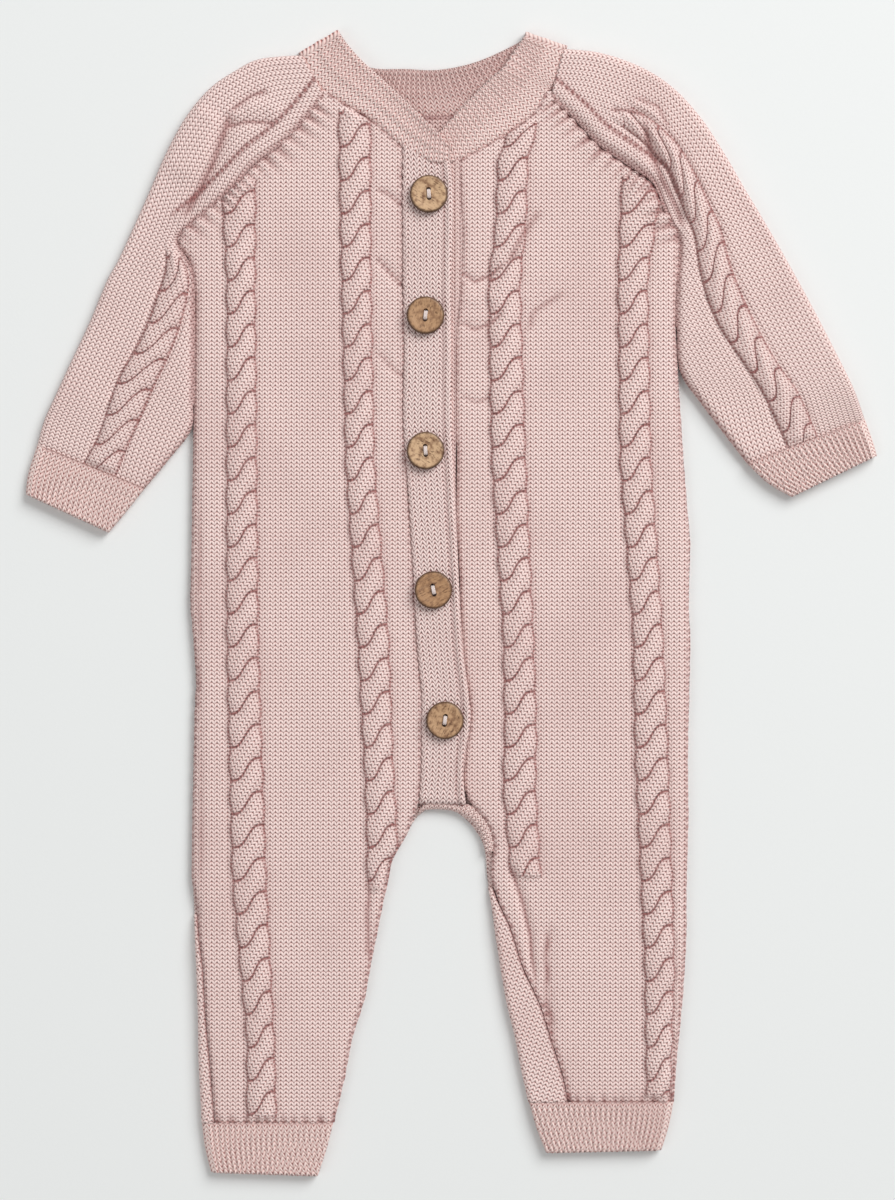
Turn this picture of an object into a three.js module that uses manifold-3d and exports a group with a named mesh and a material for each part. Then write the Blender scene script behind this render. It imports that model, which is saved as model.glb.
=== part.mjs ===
// A long-sleeved baby romper knitted in cable pattern, laid flat on its back. Millimetres, +Z up, the
// neck towards +Y. Right and left are the wearer's, so the right side lies towards -X.
import * as THREE from 'three';
import { mergeVertices } from 'three/addons/utils/BufferGeometryUtils.js';
import Module from 'manifold-3d';

// Cloth: how thick the knitting is, how far apart sewn pieces lie, and the levels of the layers
const SEAM_GAP = 0.3;
const FRONT_CLOTH = 2.4;
const BACK_CLOTH = 2.0;
const SLEEVE_CLOTH = 1.9;
const FRONT_TOP = 5.7;
const FRONT_FLOOR = BACK_CLOTH + SEAM_GAP;

// The soft fold at an open side: how wide it is and how far the front drops there
const FOLD_WIDTH = 7;
const FOLD_DROP = 2.3;

// Rope cables: one twist every 16 mm, two mesh rows to a twist
const TWIST = 16;
const TWIST_RISE = 10;
const ROW = TWIST / 2;
const STRAND_LIFT = 1.9;
const CROSSING_LIFT = 0.6;
const CABLE_FADE = 6;
const CABLE_PROFILE = [
  { across: -0.1, groove: 0, strand: 0 },
  { across: 0, groove: 0.5, strand: 0 },
  { across: 0.25, groove: 0, strand: 1 },
  { across: 0.75, groove: 0, strand: 1 },
  { across: 1, groove: 0.5, strand: 0 },
  { across: 1.1, groove: 0, strand: 0 },
];

// Ribs of the bands and cuffs
const RIB_PITCH = 2.6;
const RIB_LIFT = 0.6;

// Buttons
const BUTTON_RADIUS = 9;
const BUTTON_THICKNESS = 3.4;
const BUTTON_HOLE_RADIUS = 1.15;
const BUTTON_HOLE_SPACING = 4;
const BUTTON_HOLE_SIDES = 8;
const BUTTON_ROUNDING = 0.6;
const BUTTONS = [
  { x: -10.7, y: 195.6, turn: 4 },
  { x: -12.3, y: 137.5, turn: -6 },
  { x: -12.3, y: 72.7, turn: 3 },
  { x: -8.5, y: 6, turn: 12 },
  { x: -3, y: -56.4, turn: -8 },
];

// Colours
const KNIT = 0xdcbfbb;
const RIBBED = 0xd6bcb7;
const WOOD = 0xa98463;

// The wearer's right side of the body, from the neck seam down: raglan seam, side fold and ankle
const RIGHT_SIDE = [
  { y: 243.2, x: -62.2 }, { y: 228.2, x: -73.4 }, { y: 218.6, x: -83 }, { y: 210, x: -94.2 },
  { y: 201, x: -104 }, { y: 193, x: -112 }, { y: 184, x: -122.5 }, { y: 176, x: -132 },
  { y: 171, x: -131 }, { y: 166, x: -126.4 }, { y: 158, x: -124.4 }, { y: 147, x: -123 },
  { y: 83, x: -123.9 }, { y: 20, x: -124.9 }, { y: 0, x: -125.5 }, { y: -18, x: -123.9 },
  { y: -37, x: -122.6 }, { y: -56, x: -123.5 }, { y: -104, x: -124.4 }, { y: -133, x: -124.8 },
  { y: -162, x: -123 }, { y: -191, x: -122 }, { y: -220, x: -121.5 }, { y: -250, x: -120 },
];

// The wearer's left side, the same way
const LEFT_SIDE = [
  { y: 243.4, x: 48.6 }, { y: 232, x: 58.2 }, { y: 220, x: 68.8 }, { y: 209.5, x: 83.9 },
  { y: 202, x: 96 }, { y: 189, x: 102.6 }, { y: 174, x: 109.8 }, { y: 155, x: 108.9 },
  { y: 133, x: 107.9 }, { y: 105, x: 109.3 }, { y: 61, x: 112.2 }, { y: 28, x: 115 },
  { y: 0, x: 114.1 }, { y: -18, x: 115 }, { y: -37, x: 114.6 }, { y: -76, x: 113.7 },
  { y: -104, x: 114.1 }, { y: -133, x: 113.2 }, { y: -162, x: 113.1 }, { y: -191, x: 111.3 },
  { y: -220, x: 108.4 }, { y: -240, x: 107 },
];

// Right front's inner boundary: neck seam, button band seam, crotch and inner leg
const RIGHT_INNER = [
  { y: 243.2, x: -61.2 }, { y: 237.5, x: -50.6 }, { y: 230.4, x: -38.4 }, { y: 217, x: -24.6 },
  { y: 193, x: -23.8 }, { y: 155, x: -23.5 }, { y: 122, x: -23 }, { y: 89, x: -23.5 },
  { y: 66, x: -21.9 }, { y: 23, x: -19.1 }, { y: -18, x: -16.9 }, { y: -42, x: -14.7 },
  { y: -81, x: -14.7 }, { y: -96, x: -15.9 }, { y: -104, x: -18.8 }, { y: -112, x: -21.6 },
  { y: -117, x: -24.8 }, { y: -124, x: -28.9 }, { y: -133, x: -30.4 }, { y: -143, x: -32.7 },
  { y: -172, x: -38.5 }, { y: -191, x: -41.9 }, { y: -210, x: -48.1 }, { y: -229, x: -51.5 },
  { y: -250, x: -56.7 },
];

// Left front's inner boundary: neck seam, button band seam, crotch and the seam on the inner leg
const LEFT_INNER = [
  { y: 243.4, x: 47.4 }, { y: 233.6, x: 41.4 }, { y: 221.4, x: 23.2 }, { y: 211, x: 4.2 },
  { y: 193, x: 5.2 }, { y: 177, x: 6 }, { y: 153, x: 5.2 }, { y: 127, x: 2.8 }, { y: 83, x: 2.8 },
  { y: 69, x: 3.8 }, { y: 44, x: 3 }, { y: 12, x: 5 }, { y: -8, x: 5.4 }, { y: -30, x: 6.8 },
  { y: -48, x: 9.8 }, { y: -58, x: 9.8 }, { y: -75, x: 7.2 }, { y: -88, x: 6.6 }, { y: -97, x: 9.6 },
  { y: -105, x: 17.4 }, { y: -112, x: 20.4 }, { y: -118, x: 21 }, { y: -126, x: 19.4 },
  { y: -133, x: 19.4 }, { y: -141, x: 22.2 }, { y: -156, x: 29.2 }, { y: -176, x: 35.4 },
  { y: -193, x: 43.6 }, { y: -208, x: 48.2 }, { y: -228, x: 54.8 }, { y: -240, x: 57 },
];

// Cables on the right front (side, centre) and on the left front (centre, side): left and right edge
const RIGHT_SIDE_CABLE = [
  { y: 205, left: -111, right: -93.5 }, { y: 155, left: -108.1, right: -93.8 },
  { y: -18, left: -108.1, right: -92.3 }, { y: -133, left: -105.5, right: -88.4 },
  { y: -210, left: -98.3, right: -84.6 }, { y: -250, left: -98.5, right: -83.6 },
];
const RIGHT_CENTRE_CABLE = [
  { y: 234, left: -53.7, right: -38.4 }, { y: 155, left: -53, right: -38.2 },
  { y: 66, left: -51, right: -36.6 }, { y: -18, left: -45.3, right: -29.6 },
  { y: -81, left: -41.9, right: -27.4 }, { y: -111, left: -40.8, right: -25.6 },
  { y: -140, left: -40.5, right: -27 },
];
const LEFT_CENTRE_CABLE = [
  { y: 234, left: 30.5, right: 43 }, { y: 212, left: 22, right: 37 }, { y: 180, left: 20.8, right: 36.2 },
  { y: 154, left: 17.4, right: 33.4 }, { y: 67, left: 19, right: 36.1 }, { y: -13, left: 24.4, right: 39.7 },
  { y: -62, left: 25.3, right: 41.3 }, { y: -88, left: 24.4, right: 40.8 },
  { y: -128, left: 28, right: 43.1 }, { y: -140, left: 29, right: 43.5 },
];
const LEFT_SIDE_CABLE = [
  { y: 205, left: 81.5, right: 103 }, { y: 185, left: 80.6, right: 99 }, { y: 155, left: 79.6, right: 94.5 },
  { y: 67, left: 80.7, right: 96.2 }, { y: -13, left: 86.8, right: 101.7 },
  { y: -75, left: 87.9, right: 104.4 }, { y: -141, left: 91, right: 106.5 },
  { y: -176, left: 92.6, right: 107.4 }, { y: -240, left: 93.4, right: 105.4 },
];

// Sleeves, from the neck to the wrist: fold on the upper edge, seam on the lower edge, how high the
// cloth lies at the middle and at the seam, and where across the row the cable lies
const RIGHT_SLEEVE = [
  { foldX: -75, foldY: 263.4, seamX: -64.8, seamY: 242.2, high: 5.6, seamHigh: 4.9, from: 0.5, to: 0.7, cable: 0 },
  { foldX: -92, foldY: 261.2, seamX: -74.9, seamY: 228, high: 6.2, seamHigh: 4.9, from: 0.5, to: 0.7, cable: 0 },
  { foldX: -104, foldY: 255.4, seamX: -84.8, seamY: 218.6, high: 6.6, seamHigh: 4.9, from: 0.5, to: 0.7, cable: 0 },
  { foldX: -116, foldY: 247, seamX: -95.6, seamY: 210, high: 7, seamHigh: 4.9, from: 0.5, to: 0.7, cable: 0 },
  { foldX: -127.4, foldY: 233.4, seamX: -104.6, seamY: 200.6, high: 7, seamHigh: 4.9, from: 0.55, to: 0.75, cable: 0 },
  { foldX: -137, foldY: 216, seamX: -115.4, seamY: 190.2, high: 6.8, seamHigh: 4.9, from: 0.62, to: 0.8, cable: 0 },
  { foldX: -144.8, foldY: 198, seamX: -126, seamY: 181.4, high: 6.4, seamHigh: 4.6, from: 0.7, to: 0.85, cable: 0 },
  { foldX: -152.4, foldY: 181, seamX: -133.2, seamY: 174.8, high: 6.2, seamHigh: 4, from: 0.74, to: 0.9, cable: 0.2 },
  { foldX: -160, foldY: 164.6, seamX: -125.6, seamY: 158.6, high: 6.2, seamHigh: 4, from: 0.66, to: 0.93, cable: 1 },
  { foldX: -165.4, foldY: 154.8, seamX: -124.4, seamY: 146, high: 6.2, seamHigh: 4, from: 0.6, to: 0.93, cable: 1 },
  { foldX: -173.4, foldY: 135.6, seamX: -124.2, seamY: 121, high: 6.2, seamHigh: 4, from: 0.5, to: 0.82, cable: 1 },
  { foldX: -182.4, foldY: 116.4, seamX: -124.4, seamY: 99.6, high: 6.2, seamHigh: 4, from: 0.4, to: 0.7, cable: 1 },
  { foldX: -190.2, foldY: 99.6, seamX: -124.8, seamY: 83.8, high: 6.2, seamHigh: 4, from: 0.385, to: 0.64, cable: 1 },
  { foldX: -195.6, foldY: 87.6, seamX: -136, seamY: 68.6, high: 6, seamHigh: 4, from: 0.43, to: 0.68, cable: 1 },
  { foldX: -199, foldY: 75.6, seamX: -147.6, seamY: 54.6, high: 5.6, seamHigh: 4, from: 0.43, to: 0.74, cable: 0.3 },
];
const LEFT_SLEEVE = [
  { foldX: 57, foldY: 266.4, seamX: 51.6, seamY: 242.8, high: 5.6, seamHigh: 4.9, from: 0.4, to: 0.6, cable: 0 },
  { foldX: 71.4, foldY: 264.2, seamX: 60.4, seamY: 232.2, high: 6.2, seamHigh: 4.9, from: 0.4, to: 0.6, cable: 0 },
  { foldX: 90.6, foldY: 257.6, seamX: 71, seamY: 221, high: 6.6, seamHigh: 4.9, from: 0.45, to: 0.7, cable: 0.4 },
  { foldX: 106, foldY: 247.8, seamX: 85.8, seamY: 210.6, high: 7, seamHigh: 4.9, from: 0.45, to: 0.72, cable: 1 },
  { foldX: 119.4, foldY: 233.6, seamX: 97.6, seamY: 202.4, high: 7, seamHigh: 4.9, from: 0.46, to: 0.78, cable: 1 },
  { foldX: 131, foldY: 216.2, seamX: 102.6, seamY: 190.6, high: 6.8, seamHigh: 4.9, from: 0.46, to: 0.8, cable: 1 },
  { foldX: 141, foldY: 199, seamX: 106.8, seamY: 181.4, high: 6.4, seamHigh: 4.6, from: 0.48, to: 0.82, cable: 1 },
  { foldX: 149.2, foldY: 185.4, seamX: 110.4, seamY: 173, high: 6.2, seamHigh: 4, from: 0.5, to: 0.84, cable: 1 },
  { foldX: 160.2, foldY: 166.4, seamX: 109.4, seamY: 154.8, high: 6.2, seamHigh: 4, from: 0.5, to: 0.8, cable: 1 },
  { foldX: 173.2, foldY: 142.8, seamX: 108.6, seamY: 132.8, high: 6.2, seamHigh: 4, from: 0.45, to: 0.72, cable: 1 },
  { foldX: 185.6, foldY: 118.8, seamX: 110, seamY: 111.6, high: 6.2, seamHigh: 4, from: 0.39, to: 0.6, cable: 1 },
  { foldX: 193.8, foldY: 102, seamX: 120, seamY: 96, high: 6.2, seamHigh: 4, from: 0.36, to: 0.59, cable: 1 },
  { foldX: 198.8, foldY: 88, seamX: 142.4, seamY: 66.8, high: 5.6, seamHigh: 4, from: 0.4, to: 0.66, cable: 0.3 },
];

// Cuffs: the fold and seam side at the top edge, at the middle and at the free edge
const CUFF_HEIGHT = 5.2;
const RIGHT_WRIST = [
  { foldX: -199.2, foldY: 74.8, seamX: -148.2, seamY: 53.8, high: 5.6, seamHigh: 4 },
  { foldX: -203.4, foldY: 62, seamX: -157.4, seamY: 42.4, high: CUFF_HEIGHT, seamHigh: 3.8 },
  { foldX: -204.6, foldY: 52, seamX: -164.8, seamY: 33.6, high: CUFF_HEIGHT, seamHigh: 3.8 },
];
const LEFT_WRIST = [
  { foldX: 199, foldY: 87.2, seamX: 143, seamY: 66, high: 5.6, seamHigh: 4 },
  { foldX: 202.6, foldY: 78, seamX: 153, seamY: 57, high: CUFF_HEIGHT, seamHigh: 3.8 },
  { foldX: 204.8, foldY: 70.6, seamX: 164, seamY: 50.8, high: CUFF_HEIGHT, seamHigh: 3.8 },
];
const RIGHT_ANKLE = [
  { foldX: -120, foldY: -250.6, seamX: -56.8, seamY: -250.6, high: 5.4, seamHigh: 3.8 },
  { foldX: -118.4, foldY: -262, seamX: -60, seamY: -263, high: CUFF_HEIGHT, seamHigh: 3.8 },
  { foldX: -115.6, foldY: -273.6, seamX: -64, seamY: -275.4, high: CUFF_HEIGHT, seamHigh: 3.8 },
];
const LEFT_ANKLE = [
  { foldX: 107, foldY: -240.6, seamX: 37.4, seamY: -240.6, high: 5.4, seamHigh: 3.8 },
  { foldX: 104.6, foldY: -252, seamX: 41.2, seamY: -253, high: CUFF_HEIGHT, seamHigh: 3.8 },
  { foldX: 101.2, foldY: -263, seamX: 45.6, seamY: -264.2, high: CUFF_HEIGHT, seamHigh: 3.8 },
];

// Neckband, once round from its upper end at the centre front over the right shoulder, the back and
// the left shoulder to its under end. turn is 0 where it faces up, 180 where it lies face down
const BAND_CLOTH = 2.2;
const BAND_AXIS = 2.75;
const BAND_TURN_RADIUS = 1.65;
const NECKBAND = [
  { lowX: -1, lowY: 211.4, topX: -0.6, topY: 218.4, turn: 0, lift: 2.5 },
  { lowX: -9.2, lowY: 210.6, topX: -7.8, topY: 226.4, turn: 0, lift: 2.5 },
  { lowX: -23, lowY: 217.8, topX: -16.6, topY: 235.4, turn: 0, lift: 1.2 },
  { lowX: -38.2, lowY: 231.2, topX: -26.2, topY: 244.6, turn: 0, lift: 0.8 },
  { lowX: -50.4, lowY: 238.2, topX: -35, topY: 252.8, turn: 0, lift: 0.6 },
  { lowX: -61.2, lowY: 244.2, topX: -42.8, topY: 260, turn: 0, lift: 0.3 },
  { lowX: -67.4, lowY: 250.4, topX: -49, topY: 267, turn: 0, lift: 0 },
  { lowX: -72, lowY: 261.4, topX: -53, topY: 272.6, turn: 0, lift: 0 },
  { lowX: -72.6, lowY: 263, topX: -53.6, topY: 273.7, turn: 90, lift: 0 },
  { lowX: -72, lowY: 261.4, topX: -53, topY: 272.6, turn: 180, lift: 0 },
  { lowX: -63, lowY: 248.6, topX: -43.6, topY: 260, turn: 180, lift: 0 },
  { lowX: -48.6, lowY: 237.6, topX: -36, topY: 256.8, turn: 180, lift: 0 },
  { lowX: -24.6, lowY: 233.8, topX: -22, topY: 256.6, turn: 180, lift: 0 },
  { lowX: -0.6, lowY: 233.8, topX: -6, topY: 256.2, turn: 180, lift: 0 },
  { lowX: 23.4, lowY: 239, topX: 12, topY: 260, turn: 180, lift: 0 },
  { lowX: 42, lowY: 251, topX: 29.6, topY: 267.8, turn: 180, lift: 0 },
  { lowX: 54.4, lowY: 264.4, topX: 34.8, topY: 271.4, turn: 180, lift: 0 },
  { lowX: 54.9, lowY: 266, topX: 35.2, topY: 273, turn: 90, lift: 0 },
  { lowX: 54.4, lowY: 264.4, topX: 34.8, topY: 271.4, turn: 0, lift: 0 },
  { lowX: 50.6, lowY: 250, topX: 30.4, topY: 265, turn: 0, lift: 0.2 },
  { lowX: 47.2, lowY: 245, topX: 24.4, topY: 256.2, turn: 0, lift: 0.3 },
  { lowX: 41, lowY: 235, topX: 18.6, topY: 251.4, turn: 0, lift: 0.3 },
  { lowX: 22.9, lowY: 222.2, topX: 9, topY: 241.6, turn: 0, lift: 0.2 },
  { lowX: 3.6, lowY: 211.8, topX: -3.4, topY: 228.2, turn: 0, lift: 0 },
  { lowX: -3, lowY: 211.4, topX: -9, topY: 222, turn: 0, lift: -0.2 },
];

// Button bands, from the neck seam down. The upper one's free edge is a soft ridge
const OVER_BAND_FLOOR = 4.5;
const OVER_BAND_CLOTH = 2.2;
const OVER_BAND = [
  { leftX: -23.4, leftY: 214, rightX: -0.6, rightY: 207.4 }, { leftX: -23.4, leftY: 193, rightX: 0.7, rightY: 193 },
  { leftX: -23.2, leftY: 155, rightX: 0, rightY: 155 }, { leftX: -22.6, leftY: 122, rightX: 0, rightY: 122 },
  { leftX: -23.1, leftY: 89, rightX: 0.4, rightY: 89 }, { leftX: -21.6, leftY: 66, rightX: 0.8, rightY: 66 },
  { leftX: -18.8, leftY: 23, rightX: 3, rightY: 23 }, { leftX: -16.6, leftY: -18, rightX: 5, rightY: -18 },
  { leftX: -14.4, leftY: -42, rightX: 8, rightY: -42 }, { leftX: -14.3, leftY: -56, rightX: 9.2, rightY: -56 },
  { leftX: -14.4, leftY: -78, rightX: 5.8, rightY: -78 }, { leftX: -15, leftY: -94, rightX: 6.4, rightY: -95 },
];
const OVER_BAND_SECTION = [
  { across: 0, high: 0.2 }, { across: 0.5, high: 0 }, { across: 1, high: 0.1 },
  { across: 1, high: 1.5 }, { across: 0.93, high: 2.5 }, { across: 0.8, high: 2.1 },
  { across: 0.4, high: OVER_BAND_CLOTH }, { across: 0.06, high: 1.9 }, { across: 0, high: 1.4 },
];
const UNDER_BAND_CLOTH = 1.8;
const UNDER_BAND = [
  { leftX: -16, leftY: 210, rightX: 3.8, rightY: 210 }, { leftX: -16, leftY: 193, rightX: 4.7, rightY: 193 },
  { leftX: -16, leftY: 177, rightX: 5.4, rightY: 177 }, { leftX: -16, leftY: 153, rightX: 4.8, rightY: 153 },
  { leftX: -16, leftY: 127, rightX: 2.4, rightY: 127 }, { leftX: -16, leftY: 83, rightX: 2.3, rightY: 83 },
  { leftX: -15, leftY: 44, rightX: 2.5, rightY: 44 }, { leftX: -12, leftY: -8, rightX: 4.8, rightY: -8 },
  { leftX: -10, leftY: -42, rightX: 8.2, rightY: -42 }, { leftX: -10, leftY: -58, rightX: 9.2, rightY: -58 },
  { leftX: -10, leftY: -80, rightX: 6.2, rightY: -80 }, { leftX: -9, leftY: -92, rightX: 6, rightY: -93 },
];
const UNDER_BAND_SECTION = [
  { across: 0, high: 0 }, { across: 1, high: 0 }, { across: 1, high: UNDER_BAND_CLOTH },
  { across: 0, high: UNDER_BAND_CLOTH },
];

// Narrow edging round the crotch, from the right leg to the left leg
const CROTCH_BAND = [
  { leftX: -14.8, leftY: -98.6, rightX: -16.4, rightY: -102.6 },
  { leftX: -11.4, leftY: -95.6, rightX: -12.4, rightY: -99.8 },
  { leftX: -5, leftY: -95, rightX: -5, rightY: -99.4 }, { leftX: 3, leftY: -96.6, rightX: 2, rightY: -100.6 },
  { leftX: 9.4, leftY: -98.4, rightX: 7.4, rightY: -103.4 }, { leftX: 16.2, leftY: -105, rightX: 12.4, rightY: -108.8 },
  { leftX: 19.4, leftY: -112, rightX: 15.2, rightY: -114.6 }, { leftX: 19.9, leftY: -119, rightX: 16.4, rightY: -121 },
];
const CROTCH_SECTION = [
  { across: 0, high: 0 }, { across: 1, high: 0 }, { across: 1, high: 1 }, { across: 0.8, high: 2.3 },
  { across: 0.2, high: 2.9 }, { across: 0, high: 2.3 },
];

// Where the back's cloth turns up over the edge: on the left inner leg and low on the right side
const INNER_LEG_TURN = [
  { y: -137, edge: 17.6, seam: 20.2 }, { y: -148, edge: 19.8, seam: 24.8 }, { y: -156, edge: 20.8, seam: 28.7 },
  { y: -176, edge: 23.6, seam: 34.8 }, { y: -193, edge: 26.6, seam: 43 }, { y: -208, edge: 30.4, seam: 47.7 },
  { y: -228, edge: 34.2, seam: 54.2 }, { y: -239.8, edge: 37.2, seam: 56.5 },
];
const RIGHT_SIDE_TURN = [
  { y: -150, edge: -124, seam: -121.2 }, { y: -176, edge: -122.6, seam: -118.8 },
  { y: -199, edge: -121.8, seam: -117.6 }, { y: -220, edge: -121.5, seam: -115.6 },
  { y: -249.6, edge: -120, seam: -113.2 },
];

// Back: its neck edge and the crotch; the sides are those of the body
const BACK_NECK = [
  { x: 46.4, y: 246.4 }, { x: 40.6, y: 247.6 }, { x: 23.4, y: 237 }, { x: -0.6, y: 232.2 },
  { x: -24.6, y: 232.2 }, { x: -48.8, y: 235.4 }, { x: -58, y: 241.6 },
];
const BACK_CROTCH = [
  { x: -24.6, y: -117 }, { x: -21.2, y: -111.4 }, { x: -17.6, y: -104 }, { x: -13, y: -99.8 },
  { x: -5, y: -99 }, { x: 2.2, y: -100.6 }, { x: 8, y: -104.6 }, { x: 12.8, y: -111 }, { x: 16, y: -117 },
  { x: 16.8, y: -124 },
];
const LEFT_INNER_LEG = [
  { x: 17.4, y: -133 }, { x: 19, y: -143 }, { x: 21.4, y: -162 }, { x: 23.4, y: -172 }, { x: 26.4, y: -191 },
  { x: 29.2, y: -200 }, { x: 32.6, y: -220 }, { x: 37, y: -239.8 },
];
const RIGHT_INNER_LEG = [
  { x: -56.5, y: -249.6 }, { x: -51.5, y: -229 }, { x: -48.1, y: -210 }, { x: -41.9, y: -191 },
  { x: -38.5, y: -172 }, { x: -32.7, y: -143 }, { x: -30.3, y: -133 }, { x: -28.6, y: -124 },
];

// The right front's side edge gives way to the turned-up back low on the leg
const RIGHT_FRONT_SIDE = [
  ...RIGHT_SIDE.filter(({ y }) => y > RIGHT_SIDE_TURN[0].y), ...RIGHT_SIDE_TURN.map(({ y, seam }) => ({ y, x: seam })),
];
const TURN_SEAM_GAP = 0.6;

const wasm = await Module();
wasm.setup();
const romper = new THREE.Group();

function addPiece(name, geometry, color, roughness) {
  const material = new THREE.MeshStandardMaterial({ color, roughness, metalness: 0 });
  const mesh = new THREE.Mesh(geometry, material);
  mesh.name = name;
  romper.add(mesh);
}

// Smooth value of one column between two rows of a table, at share t of the way
function smooth(table, column, index, t) {
  const last = table.length - 1;
  const before = table[Math.max(index - 1, 0)][column];
  const start = table[index][column];
  const end = table[Math.min(index + 1, last)][column];
  const after = table[Math.min(index + 2, last)][column];
  const curve = (end - start) * 3 - (end - before) - (after - start) / 2;
  const bend = (end - before) / 2 + (after - start) / 2 - (end - start) * 2;
  return start + t * ((end - before) / 2 + t * (curve + t * bend));
}

// Value of a column at height y, where the rows run down from the neck. Rows are unevenly spaced, so
// this one is a straight line between rows with its corners softened
function atHeight(table, column, y) {
  const soften = 3;
  const straight = (height) => {
    let index = 0;
    while (index < table.length - 2 && height < table[index + 1].y) index++;
    const upper = table[index];
    const lower = table[index + 1];
    const share = THREE.MathUtils.clamp((upper.y - height) / (upper.y - lower.y), 0, 1);
    return THREE.MathUtils.lerp(upper[column], lower[column], share);
  };
  return (straight(y - soften) + 2 * straight(y) + straight(y + soften)) / 4;
}

// A row of a station table at a fractional place along it, all columns at once
function stationAt(table, place) {
  const index = Math.min(Math.max(Math.floor(place), 0), table.length - 2);
  const station = {};
  for (const column of Object.keys(table[0])) station[column] = smooth(table, column, index, place - index);
  return station;
}

// Places along a station table that are evenly spaced along its middle line
function evenPlaces(table, middle, count) {
  const samples = 20 * (table.length - 1);
  const lengths = [0];
  let previous = middle(stationAt(table, 0));
  for (let i = 1; i <= samples; i++) {
    const next = middle(stationAt(table, i / 20));
    lengths.push(lengths[i - 1] + next.distanceTo(previous));
    previous = next;
  }
  const places = [];
  let i = 0;
  for (let step = 0; step <= count; step++) {
    const wanted = (lengths[samples] * step) / count;
    while (i < samples - 1 && lengths[i + 1] < wanted) i++;
    const share = (wanted - lengths[i]) / (lengths[i + 1] - lengths[i]);
    places.push((i + THREE.MathUtils.clamp(share, 0, 1)) / 20);
  }
  return places;
}

// One closed wall from an outer grid and a plainer inner grid. Each grid is a list of rows of points;
// the rims join the two edges point by point however many points each has
function wall(outer, inner) {
  const positions = [];
  const faces = [];
  const place = (grid) => grid.map((row) => row.map((point) => positions.push(point.x, point.y, point.z) / 3 - 1));
  const top = place(outer);
  const bottom = place(inner);
  const cover = (grid, flipped) => {
    for (let r = 0; r < grid.length - 1; r++) {
      for (let c = 0; c < grid[r].length - 1; c++) {
        const [a, b, d, e] = [grid[r][c], grid[r][c + 1], grid[r + 1][c], grid[r + 1][c + 1]];
        if (flipped) faces.push(a, b, e, a, e, d);
        else faces.push(a, e, b, a, d, e);
      }
    }
  };
  const zip = (upper, lower) => {
    let i = 0;
    let j = 0;
    while (i < upper.length - 1 || j < lower.length - 1) {
      const nextUpper = (i + 1) / (upper.length - 1);
      const nextLower = (j + 1) / (lower.length - 1);
      if (i < upper.length - 1 && (j === lower.length - 1 || nextUpper <= nextLower)) {
        faces.push(upper[i], upper[i + 1], lower[j]);
        i++;
      } else {
        faces.push(upper[i], lower[j + 1], lower[j]);
        j++;
      }
    }
  };
  const firstOf = (grid) => grid.map((row) => row[0]);
  const lastOf = (grid) => grid.map((row) => row[row.length - 1]);
  cover(top, false);
  cover(bottom, true);
  zip(top[0], bottom[0]);
  zip(lastOf(top), lastOf(bottom));
  zip([...top[top.length - 1]].reverse(), [...bottom[bottom.length - 1]].reverse());
  zip(firstOf(top).reverse(), firstOf(bottom).reverse());
  return closedGeometry(positions, faces);
}

// A geometry whose faces point outwards, whichever way round its rows were laid
function closedGeometry(positions, faces) {
  const corner = (index) => new THREE.Vector3().fromArray(positions, 3 * index);
  let volume = 0;
  for (let f = 0; f < faces.length; f += 3) {
    volume += corner(faces[f]).dot(corner(faces[f + 1]).cross(corner(faces[f + 2])));
  }
  if (volume < 0) faces.reverse();
  const geometry = new THREE.BufferGeometry();
  geometry.setAttribute('position', new THREE.Float32BufferAttribute(positions, 3));
  geometry.setIndex(faces);
  return geometry;
}

// A solid strip: one closed section repeated along its stations
function strip(rings) {
  const count = rings[0].length;
  const positions = rings.flat().flatMap((point) => [point.x, point.y, point.z]);
  const faces = [];
  for (let r = 0; r < rings.length - 1; r++) {
    for (let c = 0; c < count; c++) {
      const next = (c + 1) % count;
      const [a, b, d, e] = [r * count + c, r * count + next, (r + 1) * count + c, (r + 1) * count + next];
      faces.push(a, b, e, a, e, d);
    }
  }
  const flat = rings[0].map((point) => new THREE.Vector2(Math.hypot(point.x - rings[0][0].x,
    point.y - rings[0][0].y), point.z));
  const start = (rings.length - 1) * count;
  for (const [a, b, c] of THREE.ShapeUtils.triangulateShape(flat, [])) {
    faces.push(a, c, b, start + a, start + b, start + c);
  }
  return closedGeometry(positions, faces);
}

function flatStrip(table, section, floor, step) {
  const middle = (s) => new THREE.Vector2((s.leftX + s.rightX) / 2, (s.leftY + s.rightY) / 2);
  const length = middle(table[0]).distanceTo(middle(table[table.length - 1]));
  const places = evenPlaces(table, middle, Math.ceil(length / step));
  return strip(places.map((place) => {
    const s = stationAt(table, place);
    return section.map(({ across, high }) => new THREE.Vector3(THREE.MathUtils.lerp(s.leftX, s.rightX, across),
      THREE.MathUtils.lerp(s.leftY, s.rightY, across), floor + high));
  }));
}

// How far the cloth drops at a distance from an open, softly folded side
function foldDrop(distance) {
  const share = THREE.MathUtils.clamp(1 - distance / FOLD_WIDTH, 0, 1);
  return FOLD_DROP * (1 - Math.sqrt(1 - share * share));
}

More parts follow.
